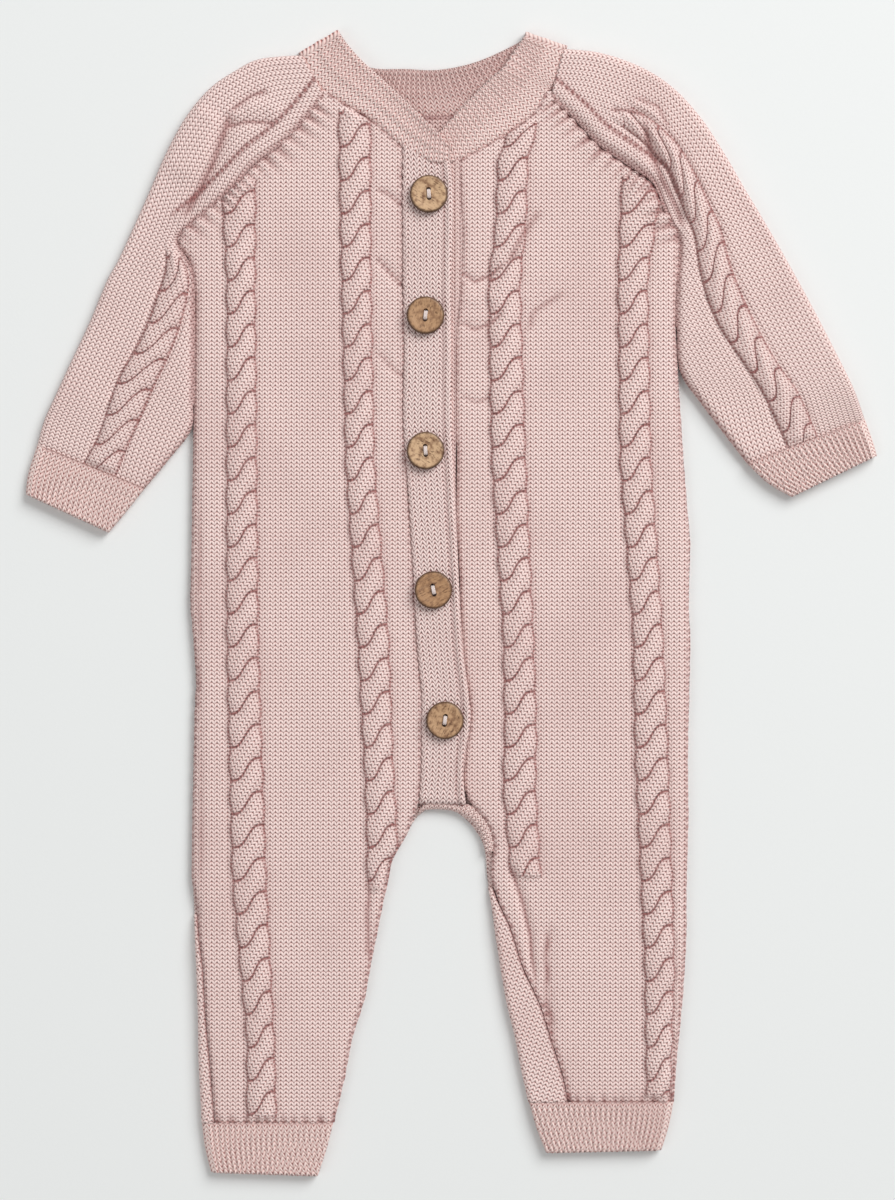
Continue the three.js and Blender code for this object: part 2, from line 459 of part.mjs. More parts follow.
// A front panel in rows from the neck down. Its columns are the side edge and fold, the cables, one
// line between them and the inner edge
function frontPanel({ leftEdge, rightEdge, foldLeft, foldRight, cables, top, bottom }) {
  const left = (y) => atHeight(leftEdge, 'x', Math.min(y, top));
  const right = (y) => atHeight(rightEdge, 'x', Math.min(y, top));
  const height = (x, y) => FRONT_TOP - foldLeft(y) * foldDrop(x - left(y)) - foldRight(y) * foldDrop(right(y) - x);
  const count = Math.round((top - bottom) / ROW);
  const columns = [
    { inset: 0 }, { inset: 1 / 3 }, { inset: 1 },
    ...CABLE_PROFILE.map((profile) => ({ ...profile, cable: cables[0] })),
    { middle: true },
    ...CABLE_PROFILE.map((profile) => ({ ...profile, cable: cables[1] })),
    { inset: 1, fromRight: true }, { inset: 1 / 3, fromRight: true }, { inset: 0, fromRight: true },
  ];
  const outer = [];
  const inner = [];
  for (let r = 0; r <= count; r++) {
    const y = THREE.MathUtils.lerp(top, bottom, r / count);
    const [from, to] = [left(y), right(y)];
    const width = to - from;
    const foldWidth = Math.min(FOLD_WIDTH, width / 8);
    const endFade = THREE.MathUtils.clamp(Math.min(r, count - r) / 2, 0, 1);
    const wave = r % 2 === 0 ? CROSSING_LIFT : STRAND_LIFT;
    const row = columns.map((column) => {
      if (column.middle) return { x: (atHeight(cables[0], 'right', y) + atHeight(cables[1], 'left', y)) / 2, y, lift: 0 };
      if (!column.cable) {
        const inset = column.inset * foldWidth;
        return { x: column.fromRight ? to - inset : from + inset, y, lift: 0 };
      }
      const table = column.cable;
      const inTable = THREE.MathUtils.clamp(Math.min(table[0].y - y, y - table[table.length - 1].y) / CABLE_FADE + 0.5, 0, 1);
      const room = Math.min(atHeight(table, 'left', y) - from - foldWidth, to - foldWidth - atHeight(table, 'right', y));
      const shown = endFade * inTable * THREE.MathUtils.clamp(room / 3, 0, 1);
      const share = THREE.MathUtils.clamp(column.across, 0, 1);
      const slant = TWIST_RISE * (THREE.MathUtils.smoothstep(share, 0, 1) - 0.5);
      const at = y + slant * shown;
      const x = THREE.MathUtils.lerp(atHeight(table, 'left', at), atHeight(table, 'right', at), column.across);
      return { x, y: at, lift: shown * (column.strand * wave - column.groove) };
    });
    // Where the boundary cuts off a cable its columns are squeezed against the edge in order
    const least = Math.min(0.35, width / (columns.length + 2));
    row.forEach((point, c) => {
      point.x = Math.max(point.x, from + c * least);
    });
    for (let c = row.length - 1; c >= 0; c--) {
      const limit = c === row.length - 1 ? to : row[c + 1].x - least;
      row[c].x = Math.min(row[c].x, Math.min(limit, to - (row.length - 1 - c) * least));
    }
    outer.push(row.map(({ x, y: at, lift }) => new THREE.Vector3(x, at, height(x, at) + lift)));
    const insides = [from, from + foldWidth, from + width / 3, to - width / 3, to - foldWidth, to];
    inner.push(insides.map((x) => new THREE.Vector3(x, y, Math.max(FRONT_FLOOR, height(x, y) - FRONT_CLOTH))));
  }
  return wall(outer, inner);
}

// A sheet folded at its upper edge and seamed at its lower edge, in rows along the limb. lifts gives
// the raised points across its upper face; the under face lies flat and plain
function foldedSheet(places, table, lifts, cloth) {
  const outer = [];
  const inner = [];
  places.forEach((place, r) => {
    const s = stationAt(table, place);
    const fold = new THREE.Vector2(s.foldX, s.foldY);
    const seam = new THREE.Vector2(s.seamX, s.seamY);
    const width = fold.distanceTo(seam);
    const edge = Math.min(3.4, width / 5) / width;
    const half = s.high / 2;
    const on = (across, z) => new THREE.Vector3(THREE.MathUtils.lerp(s.foldX, s.seamX, across),
      THREE.MathUtils.lerp(s.foldY, s.seamY, across), z);
    const upper = lifts(r, s, place, edge).map((point) => {
      const t = stationAt(table, THREE.MathUtils.clamp(place + (point.along ?? 0), 0, table.length - 1));
      return new THREE.Vector3(THREE.MathUtils.lerp(t.foldX, t.seamX, point.across),
        THREE.MathUtils.lerp(t.foldY, t.seamY, point.across), s.high + point.lift);
    });
    const split = Math.min(half, 2.9);
    outer.push([
      on(1, s.seamHigh), on(1 - edge, s.high - 0.2), ...upper, on(edge, s.high - 0.2), on(edge / 4, s.high * 0.78),
      on(0, half), on(edge / 4, s.high * 0.2), on(edge, 0), on(0.5, 0), on(1 - edge, 0), on(1, split - 1.3),
    ]);
    const hollow = cloth / width;
    inner.push([
      on(1, split + SEAM_GAP), on(1 - edge, s.high - cloth), on(0.5, s.high - cloth), on(edge * 1.2, s.high - cloth),
      on(hollow, half), on(edge * 1.2, cloth), on(0.5, cloth), on(1 - edge, Math.min(cloth, split - 0.3)), on(1, split),
    ]);
  });
  return wall(outer, inner);
}

function limbMiddle(s) {
  return new THREE.Vector2((s.foldX + s.seamX) / 2, (s.foldY + s.seamY) / 2);
}

// A sleeve with one cable. slant says which way the crossings lean across it
function sleeve(table, rows, slant) {
  const places = evenPlaces(table, limbMiddle, rows);
  const lifts = (r, s, place, edge) => {
    const wave = r % 2 === 0 ? CROSSING_LIFT : STRAND_LIFT;
    const ends = THREE.MathUtils.clamp(Math.min(r, rows - r) / 2, 0, 1);
    const shown = s.cable * ends;
    const points = [{ across: Math.max(s.to + 0.08, 0.5) , lift: 0 }];
    for (const profile of [...CABLE_PROFILE].reverse().slice(1, -1)) {
      const share = profile.across;
      const lean = slant * 0.45 * (THREE.MathUtils.smoothstep(share, 0, 1) - 0.5) * shown;
      points.push({ across: THREE.MathUtils.lerp(s.from, s.to, share), along: lean,
        lift: shown * (profile.strand * wave - profile.groove) });
    }
    points.push({ across: s.from - 0.08, lift: 0 });
    points.push({ across: (s.from - 0.08 + edge) / 2, lift: 0 });
    return points.map((point) => ({ ...point, across: THREE.MathUtils.clamp(point.across, edge * 1.05, 1 - edge * 1.05) }));
  };
  return foldedSheet(places, table, lifts, SLEEVE_CLOTH);
}

// A cuff with its upright ribs raised on the upper face
function cuff(table) {
  const start = stationAt(table, 0);
  const width = Math.hypot(start.foldX - start.seamX, start.foldY - start.seamY);
  const ribs = Math.round(width / RIB_PITCH) - 2;
  const lifts = (r, s, place, edge) => {
    const points = [];
    for (let i = 0; i <= 2 * ribs; i++) {
      const across = THREE.MathUtils.lerp(1 - edge * 1.1, edge * 1.1, i / (2 * ribs));
      points.push({ across, lift: i % 2 === 0 ? -0.1 : RIB_LIFT });
    }
    return points;
  };
  return foldedSheet([0, 0.25, 1, 2], table, lifts, SLEEVE_CLOTH);
}

// The neckband as one strip, its ribs raised where it faces up
function neckband() {
  const middle = (s) => new THREE.Vector3((s.lowX + s.topX) / 2, (s.lowY + s.topY) / 2, s.turn / 60);
  const point = (place, across, offset) => {
    const s = stationAt(NECKBAND, place);
    const turn = THREE.MathUtils.degToRad(THREE.MathUtils.clamp(s.turn, 0, 180));
    const outward = new THREE.Vector2(s.topY - s.lowY, s.lowX - s.topX).normalize();
    if (outward.y < 0) outward.negate();
    const reach = BAND_TURN_RADIUS + offset;
    return new THREE.Vector3(
      THREE.MathUtils.lerp(s.lowX, s.topX, across) + Math.sin(turn) * reach * outward.x,
      THREE.MathUtils.lerp(s.lowY, s.topY, across) + Math.sin(turn) * reach * outward.y,
      BAND_AXIS + s.lift + Math.cos(turn) * reach,
    );
  };
  const half = BAND_CLOTH / 2;
  const ribs = 92;
  const outerPlaces = evenPlaces(NECKBAND, middle, 2 * ribs);
  const innerPlaces = evenPlaces(NECKBAND, middle, 46);
  const outerRow = (across, ribLift, lift) => outerPlaces.map((place, i) => {
    const facingUp = THREE.MathUtils.clamp(1 - stationAt(NECKBAND, place).turn / 60, 0, 1);
    const ends = i < 2 || i > 2 * ribs - 2 ? 0 : 1;
    return point(place, across, half + facingUp * ends * (lift + (i % 2 === 0 ? 0 : ribLift)));
  });
  const outer = [outerRow(1, 0.2, -0.2), outerRow(0.86, RIB_LIFT, 0.3), outerRow(0.46, RIB_LIFT, 0.1), outerRow(0, 0.2, -0.1)];
  const inner = [1, 0].map((across) => innerPlaces.map((place) => point(place, across, -half)));
  return wall(outer, inner);
}

// The back with both legs, cut from its outline, and its cloth turned up over two edges
function back() {
  const smoothSide = (table, from, to) => table.filter(({ y }) => y <= from && y >= to);
  const inset = SEAM_GAP;
  const shape = new THREE.Shape();
  const raglanRight = smoothSide(RIGHT_SIDE, 244, -250);
  const raglanLeft = smoothSide(LEFT_SIDE, 244, -240).reverse();
  const vectors = (rows, dx = 0) => rows.map(({ x, y }) => new THREE.Vector2(x + dx, y));
  const outline = [
    ...vectors(raglanRight, inset), ...vectors(RIGHT_INNER_LEG), ...vectors(BACK_CROTCH), ...vectors(LEFT_INNER_LEG),
    ...vectors(raglanLeft, -inset), ...vectors(BACK_NECK),
  ];
  outline[0].set(-60.6, 242);
  shape.setFromPoints(outline);
  const rounding = 0.6;
  const plate = new THREE.ExtrudeGeometry(shape, { depth: BACK_CLOTH - 2 * rounding, bevelThickness: rounding,
    bevelSize: rounding, bevelOffset: -rounding, bevelSegments: 1, curveSegments: 1 });
  plate.translate(0, 0, rounding);
  let solid = toSolid(plate);
  for (const [table, side] of [[INNER_LEG_TURN, 1], [RIGHT_SIDE_TURN, 1]]) {
    solid = solid.add(toSolid(turnUp(table, side)));
  }
  return fromSolid(solid);
}

// The strip of back cloth that rises at an edge and lies on top as far as its seam
function turnUp(table, side) {
  return strip(table.map(({ y, edge, seam }) => {
    const width = seam - edge;
    const bend = Math.min(2.6, width * 0.4);
    const top = FRONT_TOP - 0.1;
    const section = [
      { x: edge + 1.9, z: 0.7 }, { x: edge + 0.3, z: 1.2 }, { x: edge, z: 2.6 }, { x: edge + bend * 0.5, z: 4.4 },
      { x: edge + bend, z: top }, { x: seam - TURN_SEAM_GAP, z: top }, { x: seam - TURN_SEAM_GAP, z: top - 1.7 },
      { x: edge + bend + 0.3, z: top - 1.9 }, { x: edge + 1.9, z: 2.6 },
    ];
    return section.map(({ x, z }) => new THREE.Vector3(x * side, y, z));
  }));
}

function toSolid(geometry) {
  const plain = geometry.clone();
  plain.deleteAttribute('normal');
  plain.deleteAttribute('uv');
  const merged = mergeVertices(plain, 1e-4);
  return new wasm.Manifold(new wasm.Mesh({ numProp: 3, vertProperties: merged.attributes.position.array,
    triVerts: new Uint32Array(merged.index.array) }));
}

function fromSolid(solid) {
  const mesh = solid.getMesh();
  return closedGeometry(Array.from(mesh.vertProperties), Array.from(mesh.triVerts));
}

// A two-hole button lying on the upper band
function button({ x, y, turn }) {
  const disc = new THREE.Shape();
  disc.absarc(0, 0, BUTTON_RADIUS, 0, Math.PI * 2);
  for (const side of [-1, 1]) {
    const rim = new THREE.EllipseCurve(0, (side * BUTTON_HOLE_SPACING) / 2, BUTTON_HOLE_RADIUS, BUTTON_HOLE_RADIUS);
    disc.holes.push(new THREE.Path(rim.getPoints(BUTTON_HOLE_SIDES).slice(0, -1).reverse()));
  }
  const geometry = new THREE.ExtrudeGeometry(disc, { depth: BUTTON_THICKNESS - 2 * BUTTON_ROUNDING, curveSegments: 10,
    bevelThickness: BUTTON_ROUNDING, bevelSize: BUTTON_ROUNDING, bevelOffset: -BUTTON_ROUNDING, bevelSegments: 1 });
  geometry.rotateZ(THREE.MathUtils.degToRad(turn));
  geometry.translate(x, y, OVER_BAND_FLOOR + OVER_BAND_CLOTH + SEAM_GAP + BUTTON_ROUNDING);
  return geometry;
}

const CROTCH_TOP = -96;
const LEFT_TURN_TOP = -141;
const UNDERARM = 174;
const underarmFold = (y) => THREE.MathUtils.lerp(1, 0.35, THREE.MathUtils.smoothstep(y, UNDERARM - 8, UNDERARM + 8));

addPiece('back', back(), KNIT, 0.95);
addPiece('front_right', frontPanel({
  leftEdge: RIGHT_FRONT_SIDE, rightEdge: RIGHT_INNER, top: 243, bottom: -250, cables: [RIGHT_SIDE_CABLE, RIGHT_CENTRE_CABLE],
  foldLeft: underarmFold, foldRight: (y) => THREE.MathUtils.smoothstep(-y, -CROTCH_TOP, -CROTCH_TOP + 12),
}), KNIT, 0.95);
addPiece('front_left', frontPanel({
  leftEdge: LEFT_INNER, rightEdge: LEFT_SIDE, top: 243, bottom: -240, cables: [LEFT_CENTRE_CABLE, LEFT_SIDE_CABLE],
  foldLeft: (y) => (y < CROTCH_TOP && y > LEFT_TURN_TOP ? 0.6 : 0.1), foldRight: underarmFold,
}), KNIT, 0.95);
addPiece('sleeve_right', sleeve(RIGHT_SLEEVE, 28, -1), KNIT, 0.95);
addPiece('sleeve_left', sleeve(LEFT_SLEEVE, 28, 1), KNIT, 0.95);
addPiece('cuff_wrist_right', cuff(RIGHT_WRIST), RIBBED, 0.95);
addPiece('cuff_wrist_left', cuff(LEFT_WRIST), RIBBED, 0.95);
addPiece('cuff_ankle_right', cuff(RIGHT_ANKLE), RIBBED, 0.95);
addPiece('cuff_ankle_left', cuff(LEFT_ANKLE), RIBBED, 0.95);
addPiece('neckband', neckband(), RIBBED, 0.95);
addPiece('button_band_over', flatStrip(OVER_BAND, OVER_BAND_SECTION, OVER_BAND_FLOOR, 12), RIBBED, 0.95);
addPiece('button_band_under', flatStrip(UNDER_BAND, UNDER_BAND_SECTION, FRONT_FLOOR, 16), RIBBED, 0.95);
addPiece('crotch_band', flatStrip(CROTCH_BAND, CROTCH_SECTION, FRONT_FLOOR, 3), RIBBED, 0.95);
BUTTONS.forEach((place, index) => addPiece(`button_${index + 1}`, button(place), WOOD, 0.5));

export default romper;
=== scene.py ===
import math

import bmesh
import bpy
import numpy as np
from mathutils import Matrix, Vector


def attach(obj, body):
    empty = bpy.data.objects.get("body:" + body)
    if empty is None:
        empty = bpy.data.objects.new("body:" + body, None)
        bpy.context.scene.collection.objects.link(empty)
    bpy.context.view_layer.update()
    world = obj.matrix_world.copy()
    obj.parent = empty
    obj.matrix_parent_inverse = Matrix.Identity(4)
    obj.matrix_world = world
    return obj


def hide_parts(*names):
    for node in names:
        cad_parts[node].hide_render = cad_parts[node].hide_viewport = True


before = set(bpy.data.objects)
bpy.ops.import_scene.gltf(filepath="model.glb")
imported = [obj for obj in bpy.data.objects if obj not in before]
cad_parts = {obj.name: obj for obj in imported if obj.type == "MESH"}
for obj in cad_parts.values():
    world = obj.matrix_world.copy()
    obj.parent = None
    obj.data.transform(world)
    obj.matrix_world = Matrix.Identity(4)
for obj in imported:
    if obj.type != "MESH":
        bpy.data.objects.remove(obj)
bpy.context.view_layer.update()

# The back is knitted in one with the backs of both legs and lies face down. Its fine cotton yarn
# shows at the neck, where the wrong side looks up, and along two edges where it turns to the front.
MM = 0.001
COURSE = 1.95
WALE = 2.55


def srgb(red, green, blue):
    channels = [value / 255 for value in (red, green, blue)]
    linear = [c / 12.92 if c <= 0.04045 else ((c + 0.055) / 1.055) ** 2.4 for c in channels]
    return (*linear, 1.0)


class Flow:
    """A shader value that can be written in ordinary arithmetic."""

    def __init__(self, finish, socket):
        self.finish, self.socket = finish, socket

    def math(self, operation, *others):
        node = self.finish.node("ShaderNodeMath", {"operation": operation}, dict(enumerate((self, *others))))
        return Flow(self.finish, node.outputs[0])

    def __add__(self, other):
        return self.math("ADD", other)

    __radd__ = __add__

    def __mul__(self, other):
        return self.math("MULTIPLY", other)

    __rmul__ = __mul__

    def __sub__(self, other):
        return self.math("SUBTRACT", other)

    def __rsub__(self, other):
        return (self * -1.0) + other

    def __pow__(self, power):
        return self.math("POWER", power)

    def fraction(self):
        return self.math("FRACT")

    def size(self):
        return self.math("ABSOLUTE")

    def wave(self):
        return (self * math.pi).math("SINE").math("MAXIMUM", 0.0)

    def rise(self, low, high):
        node = self.finish.node("ShaderNodeMapRange", {"interpolation_type": "SMOOTHSTEP"},
                                {"Value": self, "From Min": low, "From Max": high})
        return Flow(self.finish, node.outputs["Result"])


class Finish:
    """A material, built node by node."""

    def __init__(self, name):
        self.material = bpy.data.materials.new(name)
        self.material.use_nodes = True
        self.tree = self.material.node_tree
        self.tree.nodes.clear()

    def node(self, kind, settings=None, sockets=None):
        node = self.tree.nodes.new(kind)
        for setting, value in (settings or {}).items():
            setattr(node, setting, value)
        for socket, value in (sockets or {}).items():
            if isinstance(value, Flow):
                self.tree.links.new(value.socket, node.inputs[socket])
            else:
                node.inputs[socket].default_value = value
        return node

    def flow(self, node, output=0):
        return Flow(self, node.outputs[output])

    def noise(self, vector, scale, detail=2.0):
        node = self.node("ShaderNodeTexNoise", {}, {"Vector": vector, "Scale": scale, "Detail": detail})
        return self.flow(node, "Fac")

    def mix(self, share, first, second):
        node = self.node("ShaderNodeMix", {"data_type": "RGBA"}, {0: share, 6: first, 7: second})
        return self.flow(node, 2)

    def surface(self, colour, roughness, height, depth, **constants):
        bump = self.node("ShaderNodeBump", {}, {"Height": height, "Distance": depth, "Strength": 1.0})
        sockets = {"Base Color": colour, "Roughness": roughness, "Normal": self.flow(bump)}
        sockets.update({name.replace("_", " "): value for name, value in constants.items()})
        shader = self.node("ShaderNodeBsdfPrincipled", {}, sockets)
        self.node("ShaderNodeOutputMaterial", {}, {"Surface": self.flow(shader)})
        return self.material


def knit_finish(name, light, shadow, hole_shade, lean=0.56, openness=1.0, depth=0.0007):
    """Stockinette: rows of V stitches, with painted shade in the holes between them and darker painted
    shade in the grooves that each piece names in its shade attribute and along the crossings of its cables."""
    finish = Finish(name)
    stitch = finish.flow(finish.node("ShaderNodeUVMap", {"uv_map": "stitch"}))
    parts = finish.node("ShaderNodeSeparateXYZ", {}, {0: stitch})
    uneven = finish.noise(stitch, 0.55, 1.0)
    across = finish.flow(parts, 0) + uneven * 0.2
    upward = finish.flow(parts, 1) + finish.noise(stitch, 0.9, 1.0) * 0.3
    side = (across.fraction() - 0.5).size() * 2.0
    leg = (upward - side * lean).fraction()
    valley = 1.0 - (side * 0.8 + 0.17).wave() ** 0.7
    slot = 1.0 - leg.wave() ** 0.8
    stitch_height = 1.0 - valley * (slot * 0.5 + 0.5) - slot * 0.7
    fibre = finish.noise(stitch, 7.0, 3.0)
    cable = finish.flow(finish.node("ShaderNodeUVMap", {"uv_map": "cable"}))
    cable_parts = finish.node("ShaderNodeSeparateXYZ", {}, {0: cable})
    turn = finish.flow(cable_parts, 1) + (finish.noise(stitch, 0.5, 1.0) - 0.5) * 0.04
    # Painted shade: a cable's crossings, the dotted purl columns along its edges and whatever a piece's shade
    # attribute marks are all darkened towards one deep groove colour.
    gap = (turn.fraction() - 0.5).size().rise(0.425, 0.488)
    purl = (turn * 8.6).fraction().wave() ** 1.5 * 0.6 + 0.4
    border = (finish.flow(cable_parts, 0) - 0.5).size().rise(0.405, 0.458) * purl
    groove = gap.math("MAXIMUM", border)
    shade = finish.flow(finish.node("ShaderNodeAttribute", {"attribute_name": "shade"}), "Fac")
    dark = groove.math("MAXIMUM", shade) * (0.6 + uneven * 0.6)
    yarn = finish.mix(stitch_height.rise(0.05, 0.75), shadow, light)
    # Painted shade: the holes between the stitches take the dark colour of the shade inside them.
    pit = (1.0 - stitch_height).rise(1.0 - 0.3 * openness, 1.0)
    colour = finish.mix(pit * 0.95, yarn, hole_shade)
    colour = finish.mix(dark.math("MINIMUM", 0.92), colour, srgb(152, 87, 84))
    object_place = finish.flow(finish.node("ShaderNodeTexCoord"), "Object")
    cloud = finish.noise(object_place, 22.0, 2.0)
    colour = finish.mix(cloud.rise(0.42, 0.72) * 0.14, colour, srgb(205, 160, 155))
    colour = finish.mix(fibre.rise(0.5, 0.8) * 0.14, colour, srgb(252, 236, 232))
    height = stitch_height + fibre * 0.16 - groove * 0.5
    return finish.surface(colour, 0.86 + fibre * 0.1, height, depth, Sheen_Weight=0.2, Sheen_Roughness=0.5,
                          Specular_IOR_Level=0.2)


KNIT = knit_finish("knit", srgb(255, 229, 223), srgb(220, 162, 155), srgb(148, 84, 81))


def columns(names, *rows):
    """A table with named columns, as one array for each name."""
    return dict(zip(names.split(), np.array(rows, float).T))


def along(rows, name, height):
    """A column's value at each height, with the corners between rows softened."""
    order = np.argsort(rows["y"])
    known, values = rows["y"][order], rows[name][order]
    near = [np.interp(height + step, known, values) for step in (-3.0, 0.0, 3.0)]
    return (near[0] + 2 * near[1] + near[2]) / 4


def soft_noise(x, y, scale, seed):
    """A smooth unevenness between -1 and 1, the same in each run."""
    turns = np.random.default_rng(seed).uniform(0, 2 * math.pi, (6, 3))
    total = np.zeros_like(x)
    for direction, phase, size in turns:
        step = 2 * math.pi / (scale * (0.7 + 0.1 * size))
        total += np.sin(step * (x * math.cos(direction) + y * math.sin(direction)) + phase)
    return total / 6


def mesh_from(work, name):
    mesh = bpy.data.meshes.new(name)
    work.to_mesh(mesh)
    work.free()
    return mesh


def put_in_scene(name, data):
    item = bpy.data.objects.new(name, data)
    bpy.context.scene.collection.objects.link(item)
    return item


def place_piece(name, mesh):
    piece = put_in_scene(name, mesh)
    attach(piece, "root")
    return piece


def shell(name, outer, inner, stitch, shade=None, keep=None, cable=None, cable_stitch=None, in_cable=None):
    """A closed wall of cloth: a grid laid out flat, given its under side, then each of its points
    moved to its place on the outer or the inner face, in millimetres."""
    rows, across = outer.shape[:2]
    work = bmesh.new()
    bmesh.ops.create_grid(work, x_segments=across - 1, y_segments=rows - 1, size=1.0)
    if keep is not None:
        gone = []
        for face in work.faces:
            centre = face.calc_center_median()
            r, c = int((centre.y + 1) / 2 * (rows - 1)), int((centre.x + 1) / 2 * (across - 1))
            if not keep[r, c]:
                gone.append(face)
        bmesh.ops.delete(work, geom=gone, context="FACES")
    raised = bmesh.ops.extrude_face_region(work, geom=work.faces[:], use_keep_orig=True)["geom"]
    raised_points = [item for item in raised if isinstance(item, bmesh.types.BMVert)]
    bmesh.ops.translate(work, verts=raised_points, vec=(0, 0, 1))
    mesh = mesh_from(work, name)
    flat = np.empty(len(mesh.vertices) * 3)
    mesh.vertices.foreach_get("co", flat)
    flat = flat.reshape(-1, 3)
    column = np.rint((flat[:, 0] + 1) / 2 * (across - 1)).astype(int)
    row = np.rint((flat[:, 1] + 1) / 2 * (rows - 1)).astype(int)
    upper = flat[:, 2] > 0.5
    places = np.where(upper[:, None], outer[row, column], inner[row, column]) * MM
    mesh.vertices.foreach_set("co", places.ravel())
    corner = np.empty(len(mesh.loops), int)
    mesh.loops.foreach_get("vertex_index", corner)
    sides = np.empty(len(mesh.polygons), int)
    mesh.polygons.foreach_get("loop_total", sides)
    face_of = np.repeat(np.arange(len(sides)), sides)
    starts = np.concatenate([[0], np.cumsum(sides)[:-1]])
    face_row = np.minimum(np.minimum.reduceat(row[corner], starts), rows - 2)
    face_column = np.minimum(np.minimum.reduceat(column[corner], starts), across - 2)
    marks = stitch[row[corner], column[corner]]
    crossings = np.full_like(marks, 0.5)
    if in_cable is not None:
        twisted = in_cable[face_row, face_column][face_of]
        marks = np.where(twisted[:, None], cable_stitch[row[corner], column[corner]], marks)
        crossings = np.where(twisted[:, None], cable[row[corner], column[corner]], crossings)
    for layer, values in (("stitch", marks), ("cable", crossings)):
        mesh.uv_layers.new(name=layer).data.foreach_set("uv", np.ascontiguousarray(values).ravel())
    # The shade attribute holds painted shade: the darkening that each piece lays into its grooves, seams and
    # folds.
    painted_shade = mesh.attributes.new("shade", "FLOAT", "POINT")
    painted_shade.data.foreach_set("value", np.zeros(len(row)) if shade is None else shade[row, column])
    work = bmesh.new()
    work.from_mesh(mesh)
    bmesh.ops.recalc_face_normals(work, faces=work.faces)
    work.to_mesh(mesh)
    work.free()
    mesh.shade_smooth()
    return place_piece(name, mesh)


def finished(piece, material, slot, *nodes):
    piece.data.materials.append(material)
    if nodes:
        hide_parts(*nodes)
    return piece


def stitches(x, y):
    return np.stack([x / WALE, y / COURSE], axis=-1)


RIGHT_SIDE = columns(
    "y x", (243.2, -62.2), (228.2, -73.4), (218.6, -83), (210, -94.2), (201, -104), (193, -112),
    (184, -122.5), (176, -132), (171, -131), (166, -126.4), (158, -124.4), (147, -123), (83, -123.9),
    (20, -124.9), (0, -125.5), (-18, -123.9), (-37, -122.6), (-56, -123.5), (-104, -124.4), (-133, -124.8),
    (-162, -123), (-191, -122), (-220, -121.5), (-250, -120))
LEFT_SIDE = columns(
    "y x", (243.4, 48.6), (232, 58.2), (220, 68.8), (209.5, 83.9), (202, 96), (189, 102.6), (174, 109.8),
    (155, 108.9), (133, 107.9), (105, 109.3), (61, 112.2), (28, 115), (0, 114.1), (-18, 115), (-37, 114.6),
    (-76, 113.7), (-104, 114.1), (-133, 113.2), (-162, 113.1), (-191, 111.3), (-220, 108.4), (-240, 107))
CROTCH_RIGHT = columns(
    "y x", (-98, -9), (-99.8, -13), (-104, -17.6), (-111.4, -21.2), (-117, -24.6), (-124, -28.6),
    (-133, -30.3), (-143, -32.7), (-172, -38.5), (-191, -41.9), (-210, -48.1), (-229, -51.5), (-250, -56.5))
CROTCH_LEFT = columns(
    "y x", (-98, -2), (-100.6, 2.2), (-104.6, 8), (-111, 12.8), (-117, 16), (-124, 16.8), (-133, 17.4),
    (-143, 19), (-162, 21.4), (-172, 23.4), (-191, 26.4), (-200, 29.2), (-220, 32.6), (-240, 37))
BACK_NECK = columns(
    "x y", (-60.6, 242), (-57, 241), (-48.8, 235.4), (-24.6, 232.2), (-0.6, 232.2), (23.4, 237),
    (40.6, 246), (47, 244.6))
INNER_LEG_TURN = columns(
    "y edge seam", (-137, 17.6, 20.2), (-148, 19.8, 24.8), (-156, 20.8, 28.7), (-176, 23.6, 34.8),
    (-193, 26.6, 43), (-208, 30.4, 47.7), (-228, 34.2, 54.2), (-240, 37.2, 56.5))
RIGHT_SIDE_TURN = columns(
    "y edge seam", (-150, -123.7, -121.7), (-162, -123.3, -120.6), (-176, -122.6, -118.8),
    (-199, -121.8, -117.6), (-220, -121.5, -115.6), (-250, -120, -113.2))

UNDERARM, CROTCH, LEFT_ANKLE_TOP, RIGHT_ANKLE_TOP, NECK_TOP = 174.0, -99.0, -240.0, -249.9, 245.0
BACK_CLOTH, NECK_TUCK, SIDE_TUCK, LEG_SPLIT = 2.0, 2.0, 0.3, -80.0


